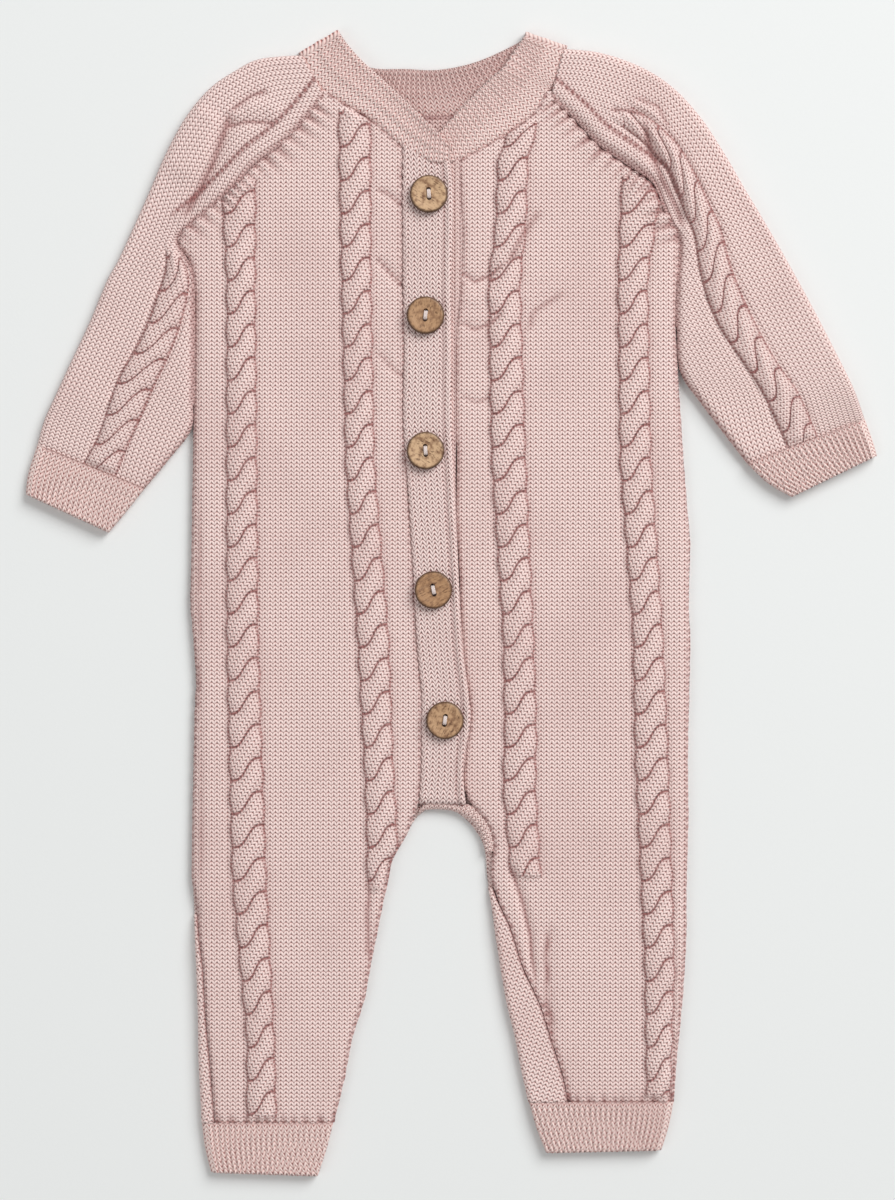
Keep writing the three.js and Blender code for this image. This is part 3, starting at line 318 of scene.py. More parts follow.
def back_panel():
    """One sheet over the body and both legs: the columns of the grid spread into the legs below the
    crotch, and the faces between the legs are left out."""
    rows, across, right_leg, left_leg = 330, 90, 38, 50
    level = np.linspace(RIGHT_ANKLE_TOP, NECK_TOP, rows)[:, None] * np.ones(across)
    share = np.linspace(0, 1, across)[None, :] * np.ones((rows, 1))
    neck = np.interp(-61 + 108 * share, BACK_NECK["x"], BACK_NECK["y"]) + NECK_TUCK
    above = np.clip((level - UNDERARM) / (NECK_TOP - UNDERARM), 0, 1)
    y = np.where(level > UNDERARM, UNDERARM + above * (neck - UNDERARM), level)
    left, right = along(RIGHT_SIDE, "x", y) + SIDE_TUCK, along(LEFT_SIDE, "x", y) - SIDE_TUCK
    x = left + (right - left) * share
    inner_right, inner_left = along(CROTCH_RIGHT, "x", y), along(CROTCH_LEFT, "x", y)
    column = np.arange(across)[None, :]
    on_right = left + (inner_right - left) * column / right_leg
    on_left = inner_left + (right - inner_left) * (column - left_leg) / (across - 1 - left_leg)
    between = inner_right + (inner_left - inner_right) * (column - right_leg) / (left_leg - right_leg)
    legs = np.where(column <= right_leg, on_right, np.where(column >= left_leg, on_left, between))
    blend = np.clip((LEG_SPLIT - y) / (LEG_SPLIT - CROTCH), 0, 1)
    x = x + (legs - x) * blend
    gap = (column[:, :-1] >= right_leg) & (column[:, :-1] < left_leg) & (y[:-1, :-1] < CROTCH)
    short = (column[:, :-1] >= left_leg) & (y[:-1, :-1] < LEFT_ANKLE_TOP)
    edge = np.minimum.reduce([x - left, right - x, np.abs(x - inner_right) + 90 * (y > CROTCH),
                              np.abs(x - inner_left) + 90 * (y > CROTCH)])
    rounding = 0.7 * (1 - np.sqrt(1 - np.clip(1 - edge / 2.0, 0, 1) ** 2))
    outer = np.stack([x, y, np.full_like(x, BACK_CLOTH) - rounding], axis=-1)
    under = np.stack([x, y, rounding], axis=-1)
    # Painted shade: the wrong side that shows through the neck is darker, partly for its purl face and partly
    # as painted shadow inside the garment, and darker again along the neck edge.
    shade = 0.34 * (y > 226) + np.clip(1 - np.abs(y - neck) / 2.0, 0, 0.5)
    return shell("knit_back", outer, under, stitches(x, y), shade=shade, keep=~(gap | short))


def turned_edge(name, rows_table, bend_limit=2.6, cloth=1.7):
    """An edge of the back that bends up round the seam and lies on the front, flat at its top end."""
    top, bottom = rows_table["y"].max(), rows_table["y"].min()
    rows = int((top - bottom) / 1.3)
    y = np.linspace(bottom, top, rows)
    edge, seam = along(rows_table, "edge", y), along(rows_table, "seam", y)
    bend = np.minimum(bend_limit, (seam - edge) * 0.45)
    rise = 0.5 + 0.5 * np.sqrt(np.clip((top - y) / 16, 0, 1))[:, None]
    turn = np.radians(np.linspace(-90, 90, 12))
    reach = np.linspace(0, 1, 12)[1:]
    across = len(turn) + len(reach)

    def face(inset):
        arc_x = edge[:, None] + inset + (bend[:, None] - inset) * (1 - np.cos(turn))
        arc_z = (2.85 + (2.75 - inset) * np.sin(turn)) * rise
        flat_x = arc_x[:, -1:] + (seam[:, None] - 0.45 - arc_x[:, -1:]) * reach
        flat_z = arc_z[:, -1:] - 0.5 * reach**6
        x, z = np.hstack([arc_x, flat_x]), np.hstack([arc_z, flat_z])
        return np.stack([x, y[:, None] * np.ones(across), z], -1)

    outer, inner = face(0.0), face(cloth)
    slant = outer[..., 0] * 0.94 - y[:, None] * 0.3
    run = y[:, None] * 0.94 + outer[..., 0] * 0.3
    # Painted shade along the seam on the upper face.
    shade = np.clip(1 - (seam[:, None] - 0.45 - outer[..., 0]) / 1.0, 0, 0.9) * (outer[..., 2] > 3)
    return shell(name, outer, inner, stitches(slant, run), shade=shade)


back = finished(back_panel(), KNIT, "knit", "back")
leg_turn = finished(turned_edge("knit_back_leg_turn", INNER_LEG_TURN), KNIT, "knit")
side_turn = finished(turned_edge("knit_back_side_turn", RIGHT_SIDE_TURN), KNIT, "knit")

# The two fronts are knitted flat from the ankle to the neck in stockinette with rope cables, and
# seamed to the back at the sides and inner legs. Each cable crosses its strands every nine rows.
FRONT_TOP, FRONT_FLOOR, FRONT_CLOTH = 5.7, 2.35, 2.4
FOLD_WIDTH, FOLD_DROP = 7.0, 2.3
TWIST, TWIST_RISE, CABLE_LIFT, SCALLOP, STRAND_SLOPE = 16.0, 11.0, 2.5, 0.4, math.radians(52)

RIGHT_FRONT_SIDE = {
    "y": np.concatenate([RIGHT_SIDE["y"][RIGHT_SIDE["y"] > -150], RIGHT_SIDE_TURN["y"]]),
    "x": np.concatenate([RIGHT_SIDE["x"][RIGHT_SIDE["y"] > -150], RIGHT_SIDE_TURN["seam"]]),
}
RIGHT_INNER = columns(
    "y x", (243.2, -61.2), (237.5, -50.6), (230.4, -38.4), (217, -24.6), (193, -23.8), (155, -23.5),
    (122, -23), (89, -23.5), (66, -21.9), (23, -19.1), (-18, -16.9), (-42, -14.7), (-81, -14.7),
    (-96, -15.9), (-104, -18.8), (-112, -21.6), (-117, -24.8), (-124, -28.9), (-133, -30.4), (-143, -32.7),
    (-172, -38.5), (-191, -41.9), (-210, -48.1), (-229, -51.5), (-250, -56.7))
LEFT_INNER = columns(
    "y x", (243.4, 47.4), (233.6, 41.4), (221.4, 23.2), (211, 4.2), (193, 5.2), (177, 6), (153, 5.2),
    (127, 2.8), (83, 2.8), (69, 3.8), (44, 3), (12, 5), (-8, 5.4), (-30, 6.8), (-48, 9.8), (-58, 9.8),
    (-75, 7.2), (-88, 6.6), (-97, 9.6), (-105, 17.4), (-112, 20.4), (-118, 21), (-126, 19.4), (-133, 19.4),
    (-141, 22.2), (-156, 29.2), (-176, 35.4), (-193, 43.6), (-208, 48.2), (-228, 54.8), (-240, 57))
RIGHT_SIDE_CABLE = columns(
    "y left right", (230, -112, -93.5), (205, -111, -93.5), (155, -108.1, -93.8), (-18, -108.1, -92.3),
    (-133, -105.5, -88.4), (-210, -98.3, -84.6), (-250, -98.5, -83.6))
RIGHT_CENTRE_CABLE = columns(
    "y left right", (240, -54.6, -38.4), (155, -53, -38.2), (66, -51, -36.6), (-18, -45.3, -29.6),
    (-81, -41.9, -27.4), (-111, -40.8, -25.6), (-140, -40.5, -27))
LEFT_CENTRE_CABLE = columns(
    "y left right", (238, 31, 44), (212, 22, 37), (180, 20.8, 36.2), (154, 17.4, 33.4), (67, 19, 36.1),
    (-13, 24.4, 39.7), (-62, 25.3, 41.3), (-88, 24.4, 40.8), (-128, 28, 43.1), (-134, 29, 43.5))
LEFT_SIDE_CABLE = columns(
    "y left right", (212, 82, 103), (185, 80.6, 99), (155, 79.6, 94.5), (67, 80.7, 96.2),
    (-13, 86.8, 101.7), (-75, 87.9, 104.4), (-141, 91, 106.5), (-176, 92.6, 107.4), (-240, 93.4, 105.4))


def smooth_step(value):
    value = np.clip(value, 0, 1)
    return value * value * (3 - 2 * value)


def hump(away, reach):
    """A soft bump: 1 where nothing is away, and nearly nothing at twice its reach."""
    return np.exp(-((away / reach) ** 2))


def to_line(x, y, points):
    """How far each place is from a line through the points, and how far along it, from 0 to 1."""
    nearest, place = np.full(x.shape, 1e9), np.zeros(x.shape)
    for index, ((x0, y0), (x1, y1)) in enumerate(zip(points, points[1:])):
        span = (x1 - x0) ** 2 + (y1 - y0) ** 2
        share = np.clip(((x - x0) * (x1 - x0) + (y - y0) * (y1 - y0)) / span, 0, 1)
        away = np.hypot(x - x0 - share * (x1 - x0), y - y0 - share * (y1 - y0))
        closer = away < nearest
        nearest = np.where(closer, away, nearest)
        place = np.where(closer, (index + share) / (len(points) - 1), place)
    return nearest, place


def creased(x, y, creases):
    """Height and shade of the given folds: each a line of points with a width and a depth, both
    in millimetres, negative for a ridge, fading out at its two ends."""
    lift, shade = np.zeros(x.shape), np.zeros(x.shape)
    for points, width, depth in creases:
        away, place = to_line(x, y, points)
        ends = smooth_step(place / 0.2) * smooth_step((1 - place) / 0.2)
        dip = hump(away, width) * ends
        lift -= depth * dip
        if depth > 0:
            # Painted shade down the middle of each narrow fold.
            shade += 0.75 * hump(away, 0.4 * width) * ends * min(depth, 1) * (width < 5)
    return lift, np.clip(shade, 0, 0.8)


def crossing(share):
    """How far a strand has climbed at its share of the width: level at both edges, steep between."""
    return smooth_step(smooth_step(share))


def rope(share, turn):
    """Height of a rope cable across its width and along its twist, low in its grooves."""
    strand = np.sin(math.pi * (turn % 1.0)) ** 0.6
    return np.sin(math.pi * np.clip(share, 0, 1)) ** 0.75 * (0.2 + 0.8 * strand)


def strand_marks(across, run, slant):
    """Stitches of a crossing strand, whose columns climb steeply across the cable."""
    sine, cosine = math.sin(STRAND_SLOPE), math.cos(STRAND_SLOPE) * slant
    return stitches(across * sine - run * cosine, across * cosine + run * sine)


def front_panel(name, left_rows, right_rows, cables, top, bottom, folds, tucks, creases, gathers, seed):
    """One front with its leg: five strips of columns, of which the second and the fourth are cables."""
    rows = int((top - bottom) / FRONT_ROW)
    y = np.linspace(bottom, top, rows)
    left, right = along(left_rows, "x", y) - tucks[0](y), along(right_rows, "x", y) + tucks[1](y)
    left = left + 0.22 * soft_noise(y, 0 * y, 7, seed)
    right = right + 0.22 * soft_noise(y, 0 * y, 7, seed + 1)
    width = right - left
    least = np.minimum(0.5, width / 12)
    bounds = [left]
    for rows_of_cable in cables:
        for side, outward, phase in (("left", -1, 2.5), ("right", 1, 13.5)):
            swell = outward * SCALLOP * np.cos(2 * math.pi * (y - phase) / TWIST)
            bounds.append(np.maximum(along(rows_of_cable, side, y) + swell, bounds[-1] + least))
    bounds.append(right)
    for index in range(len(bounds) - 2, 0, -1):
        bounds[index] = np.minimum(bounds[index], bounds[index + 1] - least)
    counts = (8, 25, 20, 25, 8)
    parts, shares, twisted, shown = [], [], [], []
    for index, count in enumerate(counts):
        share = np.linspace(0, 1, count + 1)[int(index > 0):]
        parts.append(bounds[index][:, None] + (bounds[index + 1] - bounds[index])[:, None] * share)
        shares.append(share * np.ones((rows, 1)) if index % 2 else np.full((rows, len(share)), 0.5))
        twisted.append(np.full(count, index % 2 == 1))
        if index % 2:
            cable_rows = cables[index // 2]
            ends = smooth_step((y - cable_rows["y"].min()) / 5) * smooth_step((cable_rows["y"].max() - y) / 4)
            full = along(cable_rows, "right", y) - along(cable_rows, "left", y)
            room = (bounds[index + 1] - bounds[index]) / full
            present = smooth_step((room - 0.35) / 0.4) * ends * smooth_step((y - bottom) / 3)
            shown.append(present[:, None] * np.ones(len(share)))
            shown[index - 1][:, -1] = present
            shares[index - 1][:, -1] = 0
        else:
            shown.append(np.zeros((rows, len(share))))
    x, share, shown = np.hstack(parts), np.hstack(shares), np.hstack(shown)
    twisted = np.concatenate(twisted)
    height = y[:, None] * np.ones(x.shape[1])
    turn = (height - TWIST_RISE * (crossing(share) - 0.5)) / TWIST
    fold_left, fold_right = folds
    from_left, from_right = x - left[:, None], right[:, None] - x
    drop = np.zeros_like(x)
    for amount, distance in ((fold_left(height), from_left), (fold_right(height), from_right)):
        near = np.clip(1 - distance / FOLD_WIDTH, 0, 1)
        drop += amount * FOLD_DROP * (1 - np.sqrt(1 - near**2))
    lift, shade = creased(x, height, creases)
    base = FRONT_TOP - drop + lift + 0.22 * soft_noise(x, height, 34, seed)
    strand = rope(share, turn)
    relief = shown * CABLE_LIFT * strand
    away = np.minimum.reduce([np.abs(x - bound[:, None]) for bound in bounds[1:-1]])
    beside = hump(away, 0.9) * np.interp(away, [0, 3], [1, 0])
    near_cable = np.maximum.reduce([shown, np.roll(shown, 6, 1), np.roll(shown, -6, 1)])
    relief -= 0.6 * beside * near_cable
    in_rope = (share != 0.5) & (shown > 0)
    # Painted shade in the cable's grooves, where each strand tucks under the next, and just outside the
    # cable's edges.
    tucked = 0.1 * smooth_step(((turn % 1.0) - 0.55) / 0.4)
    in_groove = shown * np.maximum(0.28 * (1 - strand) ** 1.7, tucked)
    shade += np.where(in_rope, in_groove, 0.22 * near_cable * hump(away, 1.1))
    for seam, reach, pitch, strength in gathers:
        distance, place = to_line(x, height, seam)
        length = sum(math.dist(a, b) for a, b in zip(seam, seam[1:]))
        ripple = np.sin(2 * math.pi * place * length / pitch + 2.4 * np.sin(11 * place) + 0.12 * distance)
        held = (0.8 + 0.2 * np.sin(23 * place)) * hump(distance, reach)
        relief += strength * ripple * held
        # Painted shade in the hollows of the gathers.
        shade += 0.85 * np.clip(-ripple, 0, 1) * held
    edges = np.minimum(from_left, from_right)
    # Painted shade along the seams at the panel's edges, dotted like stitches.
    seam_shade = 0.45 + 0.35 * np.sin(2 * math.pi * height / 3.9 + 1.5 * np.sin(height / 7))
    shade = np.clip(shade + seam_shade * hump(np.maximum(edges - 1.0, 0), 0.9), 0, 1)
    ends = np.minimum(height - bottom, 30)
    base = base - 0.9 * hump(ends, 2.2)
    floor = np.maximum(FRONT_FLOOR, FRONT_TOP - drop - FRONT_CLOTH)
    outer = np.stack([x, height, np.maximum(base + relief, floor + 0.5)], -1)
    inner = np.stack([x, height, floor], -1)
    cable_marks = np.stack([share, turn], -1)
    strand_stitches = strand_marks(x, height, 1)
    in_cable = twisted[None, :] & (shown[:-1, :-1] > 0.5)
    return shell(name, outer, inner, stitches(x, height), shade=shade, cable=cable_marks,
                 cable_stitch=strand_stitches, in_cable=in_cable)


RIGHT_CREASES = [
    ([(-112, 186), (-96, 172), (-84, 150)], 7, 0.8), ([(-37, 199), (-30, 196), (-22, 189)], 2.0, 0.9),
    ([(-37, 167), (-30, 159), (-22, 150)], 2.0, 1.0), ([(-36, 122), (-29, 113), (-22, 107)], 2.0, 0.7),
    ([(-39.2, -131), (-40, -150), (-39.5, -176)], 2.4, 0.9),
    ([(-120, -150), (-120.4, -60), (-121, 80)], 2.0, 0.6),
    ([(-100, 60), (-78, 48), (-62, 30)], 9, 0.35), ([(-72, -150), (-62, -178), (-60, -210)], 8, 0.4)]
LEFT_CREASES = [
    ([(44, 190), (34, 176), (26, 160)], 4, 0.7), ([(56, 150), (40, 140), (36, 128)], 3.5, 0.6),
    ([(4, 160), (11, 154), (19, 157), (27, 164)], 2.0, 1.1),
    ([(4, 136), (11, 131), (19, 134), (26, 140)], 2.0, 0.9),
    ([(5, 147), (13, 145), (22, 149)], 3.6, -0.6), ([(4, 100), (12, 96), (20, 99)], 2.2, 0.6),
    ([(27.3, -122), (31, -134), (34.3, -144), (38, -160), (38.8, -171), (42, -189)], 2.4, 1.5),
    ([(47.4, -152), (46.2, -168), (46.8, -193), (49.4, -212)], 2.8, 1.3),
    ([(98, 190), (88, 172), (76, 160)], 7, 0.7), ([(74, 40), (60, 20), (52, -10)], 9, 0.35),
    ([(60, -100), (70, -140), (72, -180)], 9, 0.4)]

# Each gathered seam: its line, how far the gathers reach, their spacing and their height.
RIGHT_GATHERS = [
    ([(-62, 241), (-73, 228), (-83, 218), (-94, 210), (-104, 201), (-112, 193), (-122, 184), (-132, 176)],
     7.5, 5.8, 1.1),
    ([(-124, RIGHT_ANKLE_TOP), (-90, RIGHT_ANKLE_TOP), (-54, RIGHT_ANKLE_TOP)], 3.8, 5.2, 0.8)]
LEFT_GATHERS = [
    ([(48, 243), (58, 232), (69, 220), (84, 209.5), (96, 202), (102.6, 189), (109.8, 174)], 8.5, 5.8, 1.2),
    ([(54, LEFT_ANKLE_TOP), (80, LEFT_ANKLE_TOP), (110, LEFT_ANKLE_TOP)], 3.8, 5.2, 0.8)]
FRONT_NECK, FRONT_ROW = 245.4, 1.02


def side_fold(y):
    return 1 - 0.65 * smooth_step((y - UNDERARM + 8) / 16)


def right_side_fold(y):
    return side_fold(y) * (1 - 0.8 * smooth_step((-y - 148) / 16))


def right_inner_fold(y):
    return 0.15 + 0.85 * smooth_step((-y - 96) / 12)


def left_inner_fold(y):
    return np.where((y < -97) & (y > -141), 0.6, 0.35)


def raglan_tuck(y):
    return 0.6 * smooth_step((y - UNDERARM) / 6)


def right_side_tuck(y):
    return raglan_tuck(y) + 0.35 * smooth_step((-y - 148) / 4)


def placket_tuck(y):
    return 0.8 + 1.6 * smooth_step((y - 207) / 6) - 0.45 * smooth_step((-y - 93) / 4)


def left_inner_tuck(y):
    return placket_tuck(y) + 0.4 * smooth_step((-y - 140) / 5)


right_front = finished(front_panel(
    "knit_front_right", RIGHT_FRONT_SIDE, RIGHT_INNER, (RIGHT_SIDE_CABLE, RIGHT_CENTRE_CABLE),
    FRONT_NECK, RIGHT_ANKLE_TOP, (right_side_fold, right_inner_fold), (right_side_tuck, placket_tuck),
    RIGHT_CREASES, RIGHT_GATHERS, 3), KNIT, "knit", "front_right")
left_front = finished(front_panel(
    "knit_front_left", LEFT_INNER, LEFT_SIDE, (LEFT_CENTRE_CABLE, LEFT_SIDE_CABLE),
    FRONT_NECK, LEFT_ANKLE_TOP, (left_inner_fold, side_fold), (left_inner_tuck, raglan_tuck),
    LEFT_CREASES, LEFT_GATHERS, 5), KNIT, "knit", "front_left")

# Each sleeve is knitted flat with one cable, folded along its upper edge and seamed under the arm. A
# raised rib of three stitches runs beside the raglan seam, and the shoulder lies in soft folds.
SLEEVE_CLOTH, SEAM_TUCK = 1.9, 1.35
STATION = "fold_x fold_y seam_x seam_y high seam_high start end cable"
RIGHT_SLEEVE = columns(
    STATION, (-71.7, 263.2, -61.4, 243.9, 5.4, 5.6, .5, .7, 0),
    (-92, 261.2, -74.9, 228, 6.2, 5.6, .5, .7, 0), (-104, 255.4, -84.8, 218.6, 6.6, 5.6, .5, .7, 0),
    (-116, 247, -95.6, 210, 7, 5.6, .5, .7, 0), (-127.4, 233.4, -104.6, 200.6, 7, 5.6, .55, .75, 0),
    (-137, 216, -115.4, 190.2, 6.8, 5.6, .62, .8, 0), (-144.8, 198, -126, 181.4, 6.4, 4.6, .7, .85, 0),
    (-152.4, 181, -131.6, 173.2, 6.2, 4, .72, .93, 0), (-160, 164.6, -124.6, 158.6, 6.2, 4, .64, .95, 1),
    (-165.4, 154.8, -124.4, 146, 6.2, 4, .6, .95, 1), (-173.4, 135.6, -124.2, 121, 6.2, 4, .5, .82, 1),
    (-182.4, 116.4, -124.4, 99.6, 6.2, 4, .4, .7, 1), (-190.2, 99.6, -124.8, 83.8, 6.2, 4, .385, .64, 1),
    (-195.6, 87.6, -136, 68.6, 6, 4, .43, .68, 1), (-199, 75.6, -147.6, 54.6, 5.6, 4, .43, .74, .9))
LEFT_SLEEVE = columns(
    STATION, (53.8, 266.2, 47.9, 243.4, 5.4, 5.6, .4, .6, 0),
    (71.4, 264.2, 60.4, 232.2, 6.2, 5.6, .4, .6, 0), (90.6, 257.6, 71, 221, 6.6, 5.6, .45, .7, .3),
    (106, 247.8, 85.8, 210.6, 7, 5.6, .45, .72, 1), (119.4, 233.6, 97.6, 202.4, 7, 5.6, .46, .78, 1),
    (131, 216.2, 102.6, 190.6, 6.8, 5.6, .46, .8, 1), (141, 199, 106.8, 181.4, 6.4, 4.6, .48, .82, 1),
    (149.2, 185.4, 110.4, 173, 6.2, 4, .5, .84, 1), (160.2, 166.4, 109.4, 154.8, 6.2, 4, .5, .8, 1),
    (173.2, 142.8, 108.6, 132.8, 6.2, 4, .45, .72, 1), (185.6, 118.8, 110, 111.6, 6.2, 4, .39, .6, 1),
    (193.8, 102, 120, 96, 6.2, 4, .36, .59, 1), (198.8, 88, 142.4, 66.8, 5.6, 4, .4, .66, .9))


def smooth_along(values, place):
    """Values between the rows of a table, on a smooth curve through them."""
    last = len(values) - 1
    index = np.clip(np.floor(place).astype(int), 0, last - 1)
    t = place - index
    before, start = values[np.maximum(index - 1, 0)], values[index]
    end, after = values[index + 1], values[np.minimum(index + 2, last)]
    curve = (end - start) * 3 - (end - before) - (after - start) / 2
    bend = (end - before) / 2 + (after - start) / 2 - (end - start) * 2
    return start + t * ((end - before) / 2 + t * (curve + t * bend))


def spaced(rows_table, first, second, step):
    """Evenly spaced places along a table, by the middle line of its two edges, and the distances."""
    fine = np.linspace(0, len(rows_table[first + "_x"]) - 1, 600)
    pairs = [(rows_table[first + axis], rows_table[second + axis]) for axis in ("_x", "_y")]
    middle = [(smooth_along(one, fine) + smooth_along(other, fine)) / 2 for one, other in pairs]
    lengths = np.concatenate([[0], np.cumsum(np.hypot(np.diff(middle[0]), np.diff(middle[1])))])
    wanted = np.linspace(0, lengths[-1], max(3, int(lengths[-1] / step)))
    return np.interp(wanted, lengths, fine), wanted


def folded_limb(name, stations, step, top_counts, relief_of, marks_of=stitches, tuck_end=0.0, slant=1):
    """A sheet folded at one edge and seamed at the other, lying flat on its under side."""
    place, distance = spaced(stations, "fold", "seam", step)
    at = {key: smooth_along(values, place)[:, None] for key, values in stations.items()}
    width = np.hypot(at["fold_x"] - at["seam_x"], at["fold_y"] - at["seam_y"])
    edge = np.minimum(3.4, width / 5) / width
    start = np.clip(at["start"], edge * 1.3, 0.9)
    end = np.clip(at["end"], start + 0.05, 0.985)
    one = 1 + SEAM_TUCK * smooth_step((tuck_end - distance[:, None]) / 8) / width
    stops = [one, end, start, edge]
    parts, shares, twisted = [], [], []
    for index, count in enumerate(top_counts):
        share = np.linspace(0, 1, count + 1)[(index > 0):][None, :]
        parts.append(stops[index] + (stops[index + 1] - stops[index]) * share)
        shares.append(1 - share * one if index == 1 else np.full(parts[-1].shape, 0.5))
        if index == 1:
            shares[0][:, -1] = 1
        twisted += [index == 1] * count
    top = np.hstack(parts)
    share = np.hstack(shares)
    half = at["high"] / 2
    turn = np.radians(np.linspace(90, -90, 13)[1:])[None, :]
    below = np.linspace(0, 1, 22)[None, 1:]
    under = edge + (1 - edge) * below
    relief, shade, turns = relief_of(at, top, share, distance[:, None], width)
    near_seam = np.clip(1 - (1 - top) * width / 4.6, 0, 1)
    top_z = at["high"] - (at["high"] - at["seam_high"]) * (1 - np.sqrt(1 - near_seam**2)) + relief
    lip = np.clip(1 - (1 - under) * width / 3.0, 0, 1) ** 2

    def face(inset, top_height, under_height):
        reach = inset / width
        arc = reach + (edge - reach) * (1 - np.cos(turn))
        arc_z = half + (half - inset) * np.sin(turn)
        return np.hstack([top, arc, under]), np.hstack([top_height, arc_z, under_height])

    split = np.minimum(half, 2.9)
    outer_across, outer_z = face(0.0, top_z, 1.2 * lip)
    lining = at["high"] - SLEEVE_CLOTH
    inner_top = np.maximum(lining - near_seam * (lining - split - 0.3), split + 0.2)
    inner_across, inner_z = face(SLEEVE_CLOTH, np.minimum(inner_top * np.ones_like(top), top_z - 0.5),
                                 SLEEVE_CLOTH + (split - 0.1 - SLEEVE_CLOTH) * lip)

    def spread(across, z):
        x = at["fold_x"] + (at["seam_x"] - at["fold_x"]) * across
        y = at["fold_y"] + (at["seam_y"] - at["fold_y"]) * across
        return np.stack([x, y, z], -1)

    outer, inner = spread(outer_across, outer_z), spread(inner_across, inner_z)
    under_way = edge * width - half * math.pi - (under - edge) * width
    round_way = np.hstack([top * width, edge * width - half * (math.pi / 2 - turn), under_way])
    run = distance[:, None] * np.ones_like(round_way)
    total = outer.shape[1]
    pad = total - top.shape[1]
    shade = np.hstack([shade, np.zeros((len(place), pad))])
    extra = {}
    if turns is not None:
        full_share = np.hstack([share, np.full((len(place), pad), 0.5)])
        full_turn = np.hstack([turns, np.full((len(place), pad), 0.5)])
        flags = np.array(twisted + [False] * pad)[: total - 1]
        shown = (at["cable"] > 0.5)[:-1]
        extra = {"cable": np.stack([full_share, full_turn], -1),
                 "cable_stitch": strand_marks(round_way, run, slant),
                 "in_cable": flags[None, :] & shown}
    return shell(name, outer, inner, marks_of(round_way, run), shade=shade, **extra)


SLEEVE_RISE = 17.0

# The raglan's raised rib, its half width, the line of holes beside it and the holes' spacing.
RAGLAN_RIB, RAGLAN_HALF, RAGLAN_LINE, RAGLAN_HOLES = 4.6, 3.2, 8.6, 3.1


def sleeve_relief(slant, creases, seed, raglan_end):
    """What stands up on a sleeve: its cable, its raglan rib and the folds of the shoulder."""

    def relief_of(at, top, share, distance, width):
        x = at["fold_x"] + (at["seam_x"] - at["fold_x"]) * top
        y = at["fold_y"] + (at["seam_y"] - at["fold_y"]) * top
        turns = (distance + slant * SLEEVE_RISE * (crossing(share) - 0.5)) / TWIST
        hem = smooth_step((distance[-1] - distance) / 3.5)
        shown = smooth_step(at["cable"]) * hem
        inside = (share > 0.0) & (share < 1.0) & (np.abs(share - 0.5) > 1e-9)
        strand = rope(share, turns)
        relief = np.where(inside, shown * CABLE_LIFT * strand, 0.0)
        for bound in (at["start"], at["end"]):
            away = np.abs(top - bound) * width
            relief = relief - 0.9 * shown * hump(away, 1.0)
        from_seam = (1 - top) * width
        raglan = smooth_step((raglan_end - distance) / 12)
        raglan_rib = np.exp(-(((from_seam - RAGLAN_RIB) / RAGLAN_HALF) ** 4))
        relief = relief + raglan * raglan_rib - 0.6 * (1 - hem)
        holes = 0.6 + 0.4 * np.sin(2 * math.pi * distance / RAGLAN_HOLES)
        # Painted shade in the line of holes beside the raglan rib, dotted along it.
        shade = 1.7 * raglan * holes * hump(from_seam - RAGLAN_LINE, 1.15)
        # Painted shade in the cable's grooves and where each strand tucks under the next.
        tucked = 0.1 * smooth_step(((turns % 1.0) - 0.55) / 0.4)
        shade = shade + np.where(inside, shown * np.maximum(0.34 * (1 - strand) ** 1.7, tucked), 0)
        lift, folded = creased(x, y, creases)
        relief = relief + lift + 0.2 * soft_noise(x, y, 30, seed)
        # Painted shade along the raglan seam, added to the folds' painted shade.
        shade = np.clip(shade + folded + 0.6 * hump(np.maximum(from_seam, 0), 1.1), 0, 1)
        return relief, shade, turns

    return relief_of


RIGHT_SLEEVE_CREASES = [
    ([(-105, 236), (-108, 228.5), (-114, 211.4), (-124, 191.8), (-130, 182)], 4.6, 2.2),
    ([(-114, 238), (-121, 222), (-133, 200)], 9, -1.4),
    ([(-109, 228), (-98.5, 230.6), (-81.7, 230.2)], 2.4, 1.1),
    ([(-108, 234), (-96.1, 243.1), (-87, 246)], 2.4, 1.0), ([(-100, 237), (-90, 238), (-80, 236)], 3, -0.7),
    ([(-133, 160), (-140, 140), (-139, 120)], 6, 0.6), ([(-150, 150), (-160, 120), (-172, 96)], 6, 0.4)]
LEFT_SLEEVE_CREASES = [
    ([(92, 236), (94.5, 219.6), (101.2, 202.8), (109.3, 187), (112, 178)], 3.4, 2.1),
    ([(84, 241), (95, 236), (104, 226)], 5, -0.9), ([(75, 236.5), (84, 236), (94, 233)], 2.2, 1.0),
    ([(86, 243), (99, 238), (105, 226)], 2.2, 0.8), ([(113, 170), (119, 150), (122, 128)], 6, 0.6),
    ([(133, 205), (146, 180), (160, 150)], 7, 0.4)]
SLEEVE_STEP = 1.05

right_sleeve = finished(folded_limb(
    "knit_sleeve_right", RIGHT_SLEEVE, SLEEVE_STEP, (12, 23, 22),
    sleeve_relief(1, RIGHT_SLEEVE_CREASES, 7, 102), tuck_end=188, slant=1), KNIT, "knit", "sleeve_right")
left_sleeve = finished(folded_limb(
    "knit_sleeve_left", LEFT_SLEEVE, SLEEVE_STEP, (14, 23, 22),
    sleeve_relief(-1, LEFT_SLEEVE_CREASES, 9, 96), tuck_end=160, slant=-1), KNIT, "knit", "sleeve_left")

